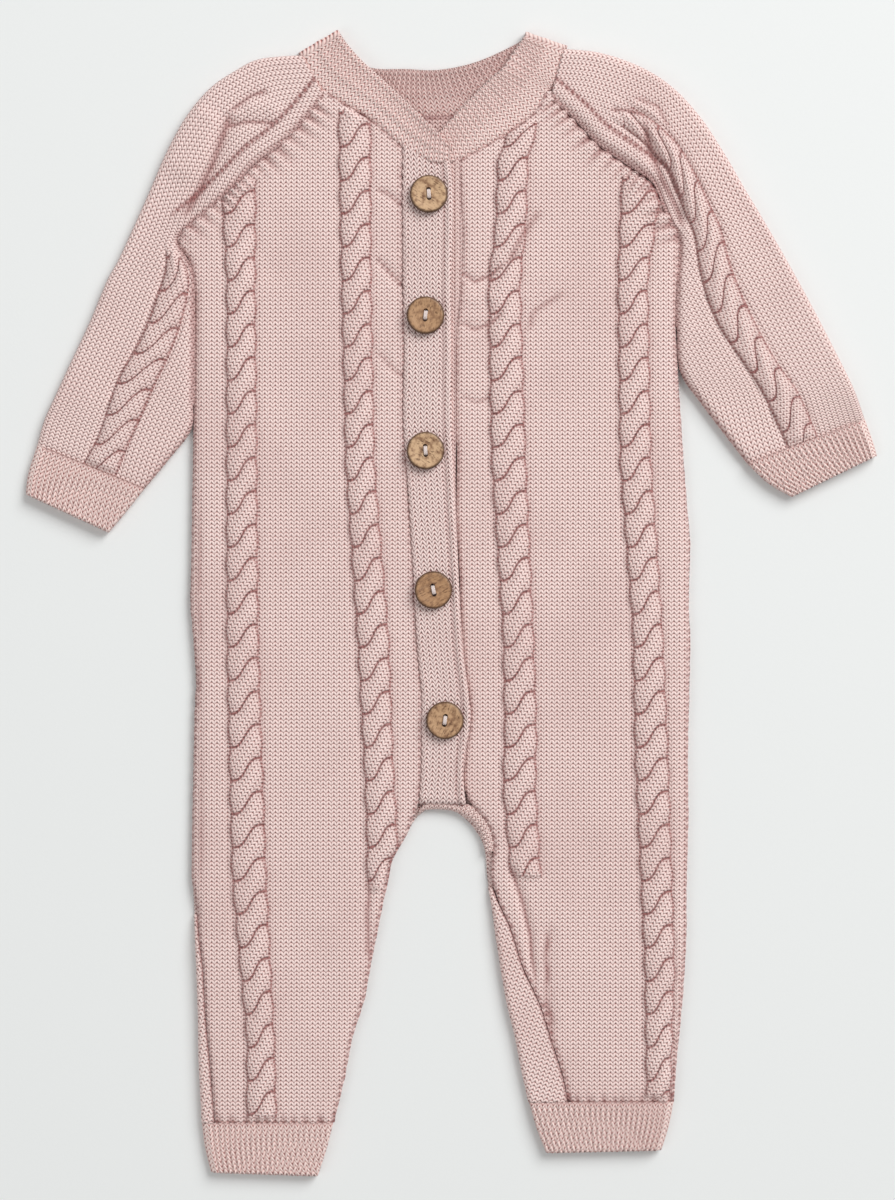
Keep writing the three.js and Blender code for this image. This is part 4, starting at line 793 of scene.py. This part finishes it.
# The cuffs are knitted on in one-by-one rib, which draws the sleeve and leg in. Each is folded flat
# and seamed on the inner side, so its upright ribs show on the upper face.
RIB_PITCH, RIB_LIFT = 2.6, 1.0
RIB = knit_finish("rib", srgb(255, 230, 223), srgb(242, 178, 170), srgb(176, 96, 92), lean=0.8)
CUFF_HEIGHT, CUFF_STEP = 0.026, 1.2
CUFFS = {
    "wrist_right": [(-199, 75.7, -147.6, 54.7, 5.6, 4), (-203.4, 62, -157.4, 42.4, 5.2, 3.8),
                    (-204.6, 52, -164.8, 33.6, 5.2, 3.8)],
    "wrist_left": [(198.9, 88.1, 142.4, 66.9, 5.6, 4), (202.6, 78, 153, 57, 5.2, 3.8),
                   (204.8, 70.6, 164, 50.8, 5.2, 3.8)],
    "ankle_right": [(-120, -249.8, -56.6, -249.8, 5.4, 3.8), (-118.4, -262, -60, -263, 5.2, 3.8),
                    (-115.6, -273.6, -64, -275.4, 5.2, 3.8)],
    "ankle_left": [(107, -239.9, 37.3, -239.9, 5.4, 3.8), (104.6, -252, 41.2, -253, 5.2, 3.8),
                   (101.2, -263, 45.6, -264.2, 5.2, 3.8)],
}


def cuff(part, rows):
    """A folded tube of rib on the end of a sleeve or leg, puckered where it is joined."""
    fold_x, fold_y, seam_x, seam_y = rows[0][:4]
    start_width = math.hypot(fold_x - seam_x, fold_y - seam_y)
    ribs = round(start_width / RIB_PITCH)
    stations = columns(STATION, *((*row, 0.3, 0.6, 0) for row in rows))

    def relief_of(at, top, share, distance, width):
        wave = np.sin(math.pi * top * ribs) ** 2
        ends = smooth_step(distance / 2.5)
        puckered = 0.35 * (1 - ends) * np.sin(top * 40 + 2 * np.sin(top * 17))
        # Painted shade in the valleys between the ribs and along the join.
        shade = 0.28 * (1 - wave) ** 2 + 0.4 * (1 - smooth_step(distance / 1.8))
        return RIB_LIFT * (wave**0.7) * (0.35 + 0.65 * ends) + puckered, np.clip(shade, 0, 1), None

    def marks_of(round_way, run):
        share = round_way / start_width
        return np.stack([share * ribs + 0.5, run / (1.15 * COURSE)], -1)

    third = ribs * 5 // 3
    piece = folded_limb("rib_cuff_" + part, stations, CUFF_STEP, (third, third, third), relief_of, marks_of)
    finished(piece, RIB, "rib", "cuff_" + part)


for cuff_name, cuff_rows in CUFFS.items():
    cuff(cuff_name, cuff_rows)

# The neckband is picked up round the neck and worked in two zones, plain below and one-by-one rib
# above, cast off loosely. It folds over at both shoulders, so its wrong side shows at the back.
NECKBAND = columns(
    "low_x low_y top_x top_y turn lift", (-1, 211.4, -.6, 218.4, 0, 2.5),
    (-9.2, 210.6, -7.8, 226.4, 0, 2.5), (-23, 217.8, -16.6, 235.4, 0, 1.2),
    (-38.2, 231.2, -26.2, 244.6, 0, .8), (-50.4, 238.2, -35, 252.8, 0, .6),
    (-61.2, 244.2, -42.8, 260, 0, .3), (-67.4, 250.4, -49, 267, 0, 0), (-72, 261.4, -53, 272.6, 0, 0),
    (-72.6, 263, -53.6, 273.7, 90, 0), (-72, 261.4, -53, 272.6, 180, 0), (-63, 248.6, -43.6, 260, 180, 0),
    (-48.6, 237.6, -36, 256.8, 180, 0), (-24.6, 233.8, -22, 256.6, 180, 0), (-.6, 233.8, -6, 256.2, 180, 0),
    (23.4, 239, 12, 260, 180, 0), (42, 251, 29.6, 267.8, 180, 0), (54.4, 264.4, 34.8, 271.4, 180, 0),
    (54.9, 266, 35.2, 273, 90, 0), (54.4, 264.4, 34.8, 271.4, 0, 0), (50.6, 250, 30.4, 265, 0, .2),
    (47.2, 245, 24.4, 256.2, 0, .3), (41, 235, 18.6, 251.4, 0, .3), (22.9, 222.2, 9, 241.6, 0, .2),
    (3.6, 211.8, -3.4, 228.2, 0, 0), (-3, 211.4, -9, 222, 0, -.2))
BAND_AXIS, BAND_TURN, BAND_CLOTH = 2.75, 1.65, 2.2
NECK_RIBS, NECK_STEP, NECK_COLUMNS = 108, 0.62, 19


def neckband():
    """A strip that runs round the neck and turns over at both shoulders, by its turn in degrees."""
    place, distance = spaced(NECKBAND, "low", "top", NECK_STEP)
    at = {key: smooth_along(values, place)[:, None] for key, values in NECKBAND.items()}
    across = np.linspace(0, 1, NECK_COLUMNS)[None, :]
    turn = np.radians(np.clip(at["turn"], 0, 180))
    out_x, out_y = at["top_y"] - at["low_y"], at["low_x"] - at["top_x"]
    size = np.hypot(out_x, out_y) * np.where(out_y < 0, -1, 1)
    out_x, out_y = out_x / size, out_y / size
    rib_place = distance[:, None] / distance[-1] * NECK_RIBS
    wave = np.sin(math.pi * rib_place) ** 2
    zone = smooth_step((across - 0.40) / 0.1)
    ridge = hump(across - 0.46, 0.07)
    roll = 0.55 * hump(across - 0.93, 0.07)
    uneven = 0.18 * soft_noise(rib_place * 1.7 + 0 * across, across * 9 + 0 * rib_place, 3.1, 11)
    calm = 0.25 + 0.75 * smooth_step(np.minimum(distance, distance[-1] - distance) / 14)[:, None]
    picked_up = 1.1 * hump(across, 0.07)
    raised = zone * calm * 0.9 * wave**0.7 + (1 - zone) * 0.35 * wave
    raised = raised + 0.5 * ridge + roll - 0.4 + uneven * zone - picked_up
    facing = np.clip(1 - at["turn"] / 80, 0, 1)
    behind = np.clip((at["turn"] - 100) / 80, 0, 1)

    def face(offset):
        reach = BAND_TURN + offset
        x = at["low_x"] + (at["top_x"] - at["low_x"]) * across + np.sin(turn) * reach * out_x
        y = at["low_y"] + (at["top_y"] - at["low_y"]) * across + np.sin(turn) * reach * out_y
        return np.stack([x, y, BAND_AXIS + at["lift"] + np.cos(turn) * reach], -1)

    outer, inner = face(BAND_CLOTH / 2 + facing * raised), face(-BAND_CLOTH / 2 - behind * raised * 0.9)
    # Painted shade in the valleys between the ribs and along the picked-up edge; where the band has turned
    # over it is darker, partly for its wrong side and partly as painted shade.
    shade = (zone * 0.36 + (1 - zone) * 0.14) * (1 - wave) ** 2
    shade = shade + 0.4 * hump(across, 0.05) + 0.3 * behind
    shade = np.where((at["turn"] > 100) & (across < 0.42), 0.15 + 0.2 * behind, shade)
    band_width = np.hypot(at["top_x"] - at["low_x"], at["top_y"] - at["low_y"])
    marks = np.stack([rib_place + 0.5 + 0 * across, (across - 1) * band_width / (1.1 * COURSE)], -1)
    return shell("rib_neckband", outer, inner, marks, shade=np.clip(shade, 0, 1))


neck = finished(neckband(), RIB, "rib", "neckband")

# The button bands are picked up along both front edges. The upper one is worked loosely, so its
# larger stitches stand open, and its free edge rolls into a soft ridge over the plain lower band.
OVER_FLOOR, OVER_CLOTH = 4.5, 2.2
OPEN_KNIT = knit_finish("open_knit", srgb(255, 230, 224), srgb(228, 174, 167), srgb(136, 74, 70), lean=0.85,
                        openness=1.7, depth=0.0008)
EDGES = "left_x left_y right_x right_y"
OVER_BAND = columns(
    EDGES, (-23.4, 219.6, -.6, 212.6), (-23.4, 193, .7, 193), (-23.2, 155, 0, 155), (-22.6, 122, 0, 122),
    (-23.1, 89, .4, 89), (-21.6, 66, .8, 66), (-18.8, 23, 3, 23), (-16.6, -18, 5, -18),
    (-14.4, -42, 8, -42), (-14.3, -56, 9.2, -56), (-14.4, -78, 5.8, -78), (-15.4, -96.5, 7, -97))
UNDER_BAND = columns(
    EDGES, (-16, 214.5, 4.6, 214.5), (-16, 193, 4.7, 193), (-16, 177, 5.4, 177), (-16, 153, 4.8, 153),
    (-16, 127, 2.4, 127), (-16, 83, 2.3, 83), (-15, 44, 2.5, 44), (-12, -8, 4.8, -8), (-10, -42, 8.2, -42),
    (-10, -58, 9.2, -58), (-10, -80, 6.2, -80), (-9, -92, 6, -93))
CROTCH_BAND = columns(
    EDGES, (-14.8, -98.6, -16.4, -102.6), (-11.4, -95.6, -12.4, -99.8), (-5, -95, -5, -99.4),
    (3, -96.6, 2, -100.6), (9.9, -97.5, 7.4, -103.4), (17.3, -104.5, 12.4, -108.8),
    (20.4, -111.8, 15.2, -114.6), (21, -118.8, 16.4, -121))


def flat_strip(name, rows_table, step, across_count, floor, height_of, marks_of, shade_of):
    """A strip that lies flat between its left and right edges, a little uneven on its left one."""
    place, distance = spaced(rows_table, "left", "right", step)
    at = {key: smooth_along(values, place)[:, None] for key, values in rows_table.items()}
    across = np.linspace(0, 1, across_count)[None, :]
    x = at["left_x"] + (at["right_x"] - at["left_x"]) * across
    y = at["left_y"] + (at["right_y"] - at["left_y"]) * across
    width = np.hypot(at["right_x"] - at["left_x"], at["right_y"] - at["left_y"])
    run = distance[:, None] * np.ones_like(across)
    x = x + 0.35 * np.sin(2 * math.pi * run / 4.3 + np.sin(run / 9)) * np.clip(1 - across * 3, 0, 1)
    outer = np.stack([x, y, floor + height_of(across, run, width)], -1)
    inner = np.stack([x, y, np.full_like(x, floor)], -1)
    marks = marks_of(across * width, run)
    return shell(name, outer, inner, marks, shade=shade_of(across * np.ones_like(run), run))


def over_height(across, run, width):
    """The upper band: rounded at both edges and at its lower end, with a ridge along its free edge."""
    side = np.minimum(across, 1 - across) * width
    dome = 0.7 * (1 - np.sqrt(1 - np.clip(1 - side / 1.6, 0, 1) ** 2))
    ridge = 0.75 * hump(across - 0.93, 0.055) - 0.4 * hump(across - 0.83, 0.04)
    dome = dome + 1.5 * (1 - np.sqrt(1 - np.clip(1 - (run.max() - run) / 3.0, 0, 1) ** 2))
    return OVER_CLOTH - dome + ridge + 0.15 * soft_noise(across * width, run, 15, 13)


def over_marks(x, run):
    return np.stack([x / 2.9, -run / 2.15], -1)


def over_shade(across, run):
    # Painted shade along the left edge and in the hollow behind the ridge.
    return 0.25 * hump(across, 0.035) + 0.4 * hump(across - 0.83, 0.03)


def under_height(across, run, width):
    return 1.8 + 0.9 * smooth_step((across - 0.82) / 0.08) + 0 * run


def under_shade(across, run):
    # Painted shade: a little over the whole band, where it lies in the upper band's shadow, and deeper along
    # its right edge.
    return 0.1 + 0.35 * hump(across - 1, 0.05)


over_band = finished(flat_strip(
    "knit_button_band_over", OVER_BAND, 1.2, 24, OVER_FLOOR, over_height, over_marks, over_shade),
    OPEN_KNIT, "rib", "button_band_over")
under_band = finished(flat_strip(
    "knit_button_band_under", UNDER_BAND, 1.5, 16, FRONT_FLOOR, under_height, stitches, under_shade),
    KNIT, "rib", "button_band_under")


EDGING_STITCH = 2.2


def edging_height(across, run, width):
    cord = np.sin(math.pi * np.clip(across, 0.02, 0.98)) ** 0.5
    return 0.8 + cord * (1.7 + 0.35 * np.sin(2 * math.pi * (run / EDGING_STITCH + across * 0.8)))


def edging_marks(x, run):
    return np.stack([run / EDGING_STITCH, x / 1.8], -1)


def edging_shade(across, run):
    between = np.sin(2 * math.pi * run / EDGING_STITCH) < -0.3
    # Painted shade along one edge and in the gaps between the stitches.
    return 0.35 * hump(across, 0.12) + 0.25 * between


crotch_band = finished(flat_strip(
    "rib_crotch_band", CROTCH_BAND, 0.5, 12, FRONT_FLOOR, edging_height, edging_marks, edging_shade),
    RIB, "rib", "crotch_band")

# Five two-hole buttons turned from coconut shell and sealed: a soft rim, a shallow dished face and
# a darker edge. Each is sewn on with a few strands of pale thread across its two holes.
BUTTON_FLOOR, BUTTON_HOLE, BUTTON_HOLE_SPACING, BUTTON_SIDES, DRILL_DEPTH = 7.0, 1.15, 4.0, 72, 12.0
BUTTON_PROFILE = [(0.0, 3.0), (4.6, 3.0), (6.2, 3.15), (7.4, 3.4), (8.3, 3.3), (8.85, 2.8), (9.0, 2.1),
                  (9.0, 1.1), (8.7, 0.4), (8.0, 0.0), (0.0, 0.0)]

# Each button's place, its turn in degrees and how light its shell is, from the neck down.
BUTTONS = [(-10.7, 195.6, 4, 0.95), (-12.3, 137.5, -6, 0.3), (-12.3, 72.7, 3, 1.0), (-8.5, 6.0, 12, 0.15),
           (-3.0, -56.4, -8, 0.5)]


def wood_finish(index, tone, x, y, turn):
    finish = Finish(f"coconut_{index}")
    place = finish.flow(finish.node("ShaderNodeTexCoord"), "Object")
    centre = (x * MM, y * MM, BUTTON_FLOOR * MM)
    grain_turn = (0, 0, math.radians(35 + turn * 7))
    centred = finish.flow(finish.node("ShaderNodeMapping", {"vector_type": "TEXTURE"}, {
        "Vector": place, "Location": centre, "Rotation": grain_turn}))
    parts = finish.node("ShaderNodeSeparateXYZ", {}, {0: centred})
    aside, ahead = finish.flow(parts, 0), finish.flow(parts, 1)
    out = (aside * aside + ahead * ahead) ** 0.5
    stretched = finish.flow(finish.node("ShaderNodeMapping", {}, {
        "Vector": centred, "Scale": (1.0, 0.28, 1.0), "Location": (index * 0.37, 0.1, 0)}))
    grain = finish.noise(stretched, 1500.0, 5.0)
    mottle = finish.noise(centred, 330.0 + index * 23, 3.0)
    light, middle, dark = srgb(214, 178, 140), srgb(174, 130, 92), srgb(92, 58, 36)
    base = finish.mix(mottle.rise(0.3, 0.6), srgb(140, 102, 74), finish.mix(tone, middle, light))
    base = finish.mix(grain.rise(0.55, 0.69) * 0.8, base, dark)
    base = finish.mix((1.0 - grain).rise(0.5, 0.75) * 0.35, base, light)
    rim = out.rise(0.0076, 0.0088)
    base = finish.mix(rim * 0.9, base, srgb(76, 50, 32))
    height = grain * 0.4 + mottle * 0.3
    return finish.surface(base, 0.36 + grain * 0.22, height, 0.00012, Specular_IOR_Level=0.4)


def set_down(work, x, y, turn, name):
    """A button or its thread, shaped in millimetres on its own middle, put in its place."""
    angle = math.radians(turn)
    for vert in work.verts:
        px, py, pz = vert.co
        vert.co = ((x + px * math.cos(angle) - py * math.sin(angle)) * MM,
                   (y + px * math.sin(angle) + py * math.cos(angle)) * MM, (BUTTON_FLOOR + pz) * MM)
    mesh = mesh_from(work, name)
    mesh.shade_smooth()
    return place_piece(name, mesh)


def button(index, x, y, turn, tone):
    """The profile spun into a disc, then both thread holes drilled through it."""
    work = bmesh.new()
    chain = [work.verts.new((radius, 0, height)) for radius, height in BUTTON_PROFILE]
    edges = [work.edges.new(pair) for pair in zip(chain, chain[1:])]
    bmesh.ops.spin(work, geom=chain + edges, cent=(0, 0, 0), axis=(0, 0, 1), angle=2 * math.pi,
                   steps=BUTTON_SIDES, use_merge=True)
    bmesh.ops.remove_doubles(work, verts=work.verts, dist=1e-4)
    bmesh.ops.recalc_face_normals(work, faces=work.faces)
    body = put_in_scene("disc", mesh_from(work, f"button_{index}_disc"))
    work = bmesh.new()
    for side in (-1, 1):
        made = bmesh.ops.create_cone(work, cap_ends=True, segments=32, radius1=BUTTON_HOLE,
                                     radius2=BUTTON_HOLE, depth=DRILL_DEPTH)
        bmesh.ops.translate(work, verts=made["verts"], vec=(0, side * BUTTON_HOLE_SPACING / 2, 2))
    cutter = put_in_scene("drill", mesh_from(work, f"button_{index}_drill"))
    cut = body.modifiers.new("holes", "BOOLEAN")
    cut.operation, cut.object, cut.solver = "DIFFERENCE", cutter, "EXACT"
    drilled = bpy.data.meshes.new_from_object(body.evaluated_get(bpy.context.evaluated_depsgraph_get()))
    for item in (body, cutter):
        bpy.data.objects.remove(item)
    work = bmesh.new()
    work.from_mesh(drilled)
    bmesh.ops.triangulate(work, faces=[face for face in work.faces if len(face.verts) > 4])
    piece = set_down(work, x, y, turn, f"wooden_button_{index}")
    piece.data.set_sharp_from_angle(angle=math.radians(40))
    finished(piece, wood_finish(index, tone, x, y, turn), "wood", f"button_{index}")


def thread_finish():
    finish = Finish("sewing_thread")
    place = finish.flow(finish.node("ShaderNodeTexCoord"), "Object")
    settings = {"wave_type": "BANDS", "bands_direction": "DIAGONAL"}
    sockets = {"Vector": place, "Scale": 900.0, "Distortion": 2.0}
    twist = finish.flow(finish.node("ShaderNodeTexWave", settings, sockets), 1)
    colour = finish.mix(twist, srgb(222, 202, 196), srgb(250, 240, 236))
    return finish.surface(colour, 0.8 + twist * 0.1, twist, 0.0001)


THREAD = thread_finish()
THREAD_RADIUS, THREAD_SPACING, THREAD_SIDES = 0.33, 0.55, 8

# Half of a strand's arch over the bridge, and back: along in shares of the reach, up in millimetres,
# and how far its ring leans there, in degrees.
STRAND_PATH = [(-0.96, 0.8, 0), (-0.95, 2.5, -25), (-0.86, 3.2, -40), (-0.5, 3.52, -20), (0.0, 3.6, -5),
               (0.5, 3.52, -5), (0.86, 3.2, -20), (0.95, 2.5, -40), (0.96, 0.8, -25)]


def thread(index, x, y, turn):
    """Three strands over the bridge between the holes, each a ring of cloth swept over in an arch."""
    work = bmesh.new()
    reach = BUTTON_HOLE_SPACING / 2
    for strand in (-THREAD_SPACING, 0.0, THREAD_SPACING):
        circle = bmesh.ops.create_circle(work, cap_ends=False, segments=THREAD_SIDES, radius=THREAD_RADIUS)
        ring = circle["verts"]
        edges = list({edge for vert in ring for edge in vert.link_edges})
        bmesh.ops.translate(work, verts=ring, vec=(strand, STRAND_PATH[0][0] * reach, STRAND_PATH[0][1]))
        ends = [edges]
        for (y0, z0, _), (y1, z1, tilt) in zip(STRAND_PATH, STRAND_PATH[1:]):
            grown = bmesh.ops.extrude_edge_only(work, edges=edges)["geom"]
            verts = [item for item in grown if isinstance(item, bmesh.types.BMVert)]
            bmesh.ops.translate(work, verts=verts, vec=(0, (y1 - y0) * reach, z1 - z0))
            spot = np.mean([vert.co for vert in verts], axis=0)
            bmesh.ops.rotate(work, verts=verts, cent=spot, matrix=Matrix.Rotation(math.radians(tilt), 3, "X"))
            edges = [item for item in grown if isinstance(item, bmesh.types.BMEdge)]
            edges = [edge for edge in edges if all(vert in verts for vert in edge.verts)]
        ends.append(edges)
        for loop in ends:
            bmesh.ops.edgeloop_fill(work, edges=loop)
    bmesh.ops.recalc_face_normals(work, faces=work.faces)
    finished(set_down(work, x, y, turn, f"button_thread_{index}"), THREAD, "thread")


for number, (button_x, button_y, button_turn, button_tone) in enumerate(BUTTONS, start=1):
    button(number, button_x, button_y, button_turn, button_tone)
    thread(number, button_x, button_y, button_turn)

# The garment lies on a plain pale sheet of card under broad, soft studio light, seen from straight
# above with the neck at the top of the picture.
FLOOR_SIZE, FLOOR_DROP = 6.0, 0.0002


def floor_finish():
    finish = Finish("pale_card")
    place = finish.flow(finish.node("ShaderNodeTexCoord"), "Object")
    grain = finish.noise(place, 900.0, 2.0)
    colour = finish.mix(grain, srgb(238, 240, 239), srgb(240, 242, 241))
    return finish.surface(colour, 0.9 + grain * 0.05, grain, 0.00002)


floor_work = bmesh.new()
bmesh.ops.create_grid(floor_work, x_segments=1, y_segments=1, size=FLOOR_SIZE)
bmesh.ops.translate(floor_work, verts=floor_work.verts, vec=(0, 0, -FLOOR_DROP))
floor_mesh = mesh_from(floor_work, "pale_floor")
floor_mesh.materials.append(floor_finish())
pale_floor = put_in_scene("pale_floor", floor_mesh)


def softbox(name, place, size, power):
    lamp = bpy.data.lights.new(name, "AREA")
    lamp.shape, lamp.size, lamp.energy = "DISK", size, power
    fitting = put_in_scene(name, lamp)
    fitting.location = place
    fitting.rotation_euler = (-Vector(place)).to_track_quat("-Z", "Y").to_euler()


softbox("key_light", (1.9, 2.0, 2.5), 2.6, 112)
softbox("fill_light", (-1.6, -0.9, 1.9), 1.6, 8)
world = bpy.data.worlds.new("studio")
world.use_nodes = True
world.node_tree.nodes["Background"].inputs["Color"].default_value = (1, 1, 1, 1)
world.node_tree.nodes["Background"].inputs["Strength"].default_value = 0.39
bpy.context.scene.world = world
bpy.context.scene.view_settings.view_transform = "Standard"

# The camera hangs over the middle of the photograph, a little to the left of the garment's own.
PIXEL, CAMERA_HEIGHT = 0.48, 1.285
PICTURE_MIDDLE = (-3.7, 2.5)
camera_data = bpy.data.cameras.new("camera")
camera_data.lens, camera_data.sensor_width = 80, 36
camera = put_in_scene("camera", camera_data)
camera.location = (PICTURE_MIDDLE[0] * PIXEL * MM, PICTURE_MIDDLE[1] * PIXEL * MM, CAMERA_HEIGHT)
bpy.context.scene.camera = camera
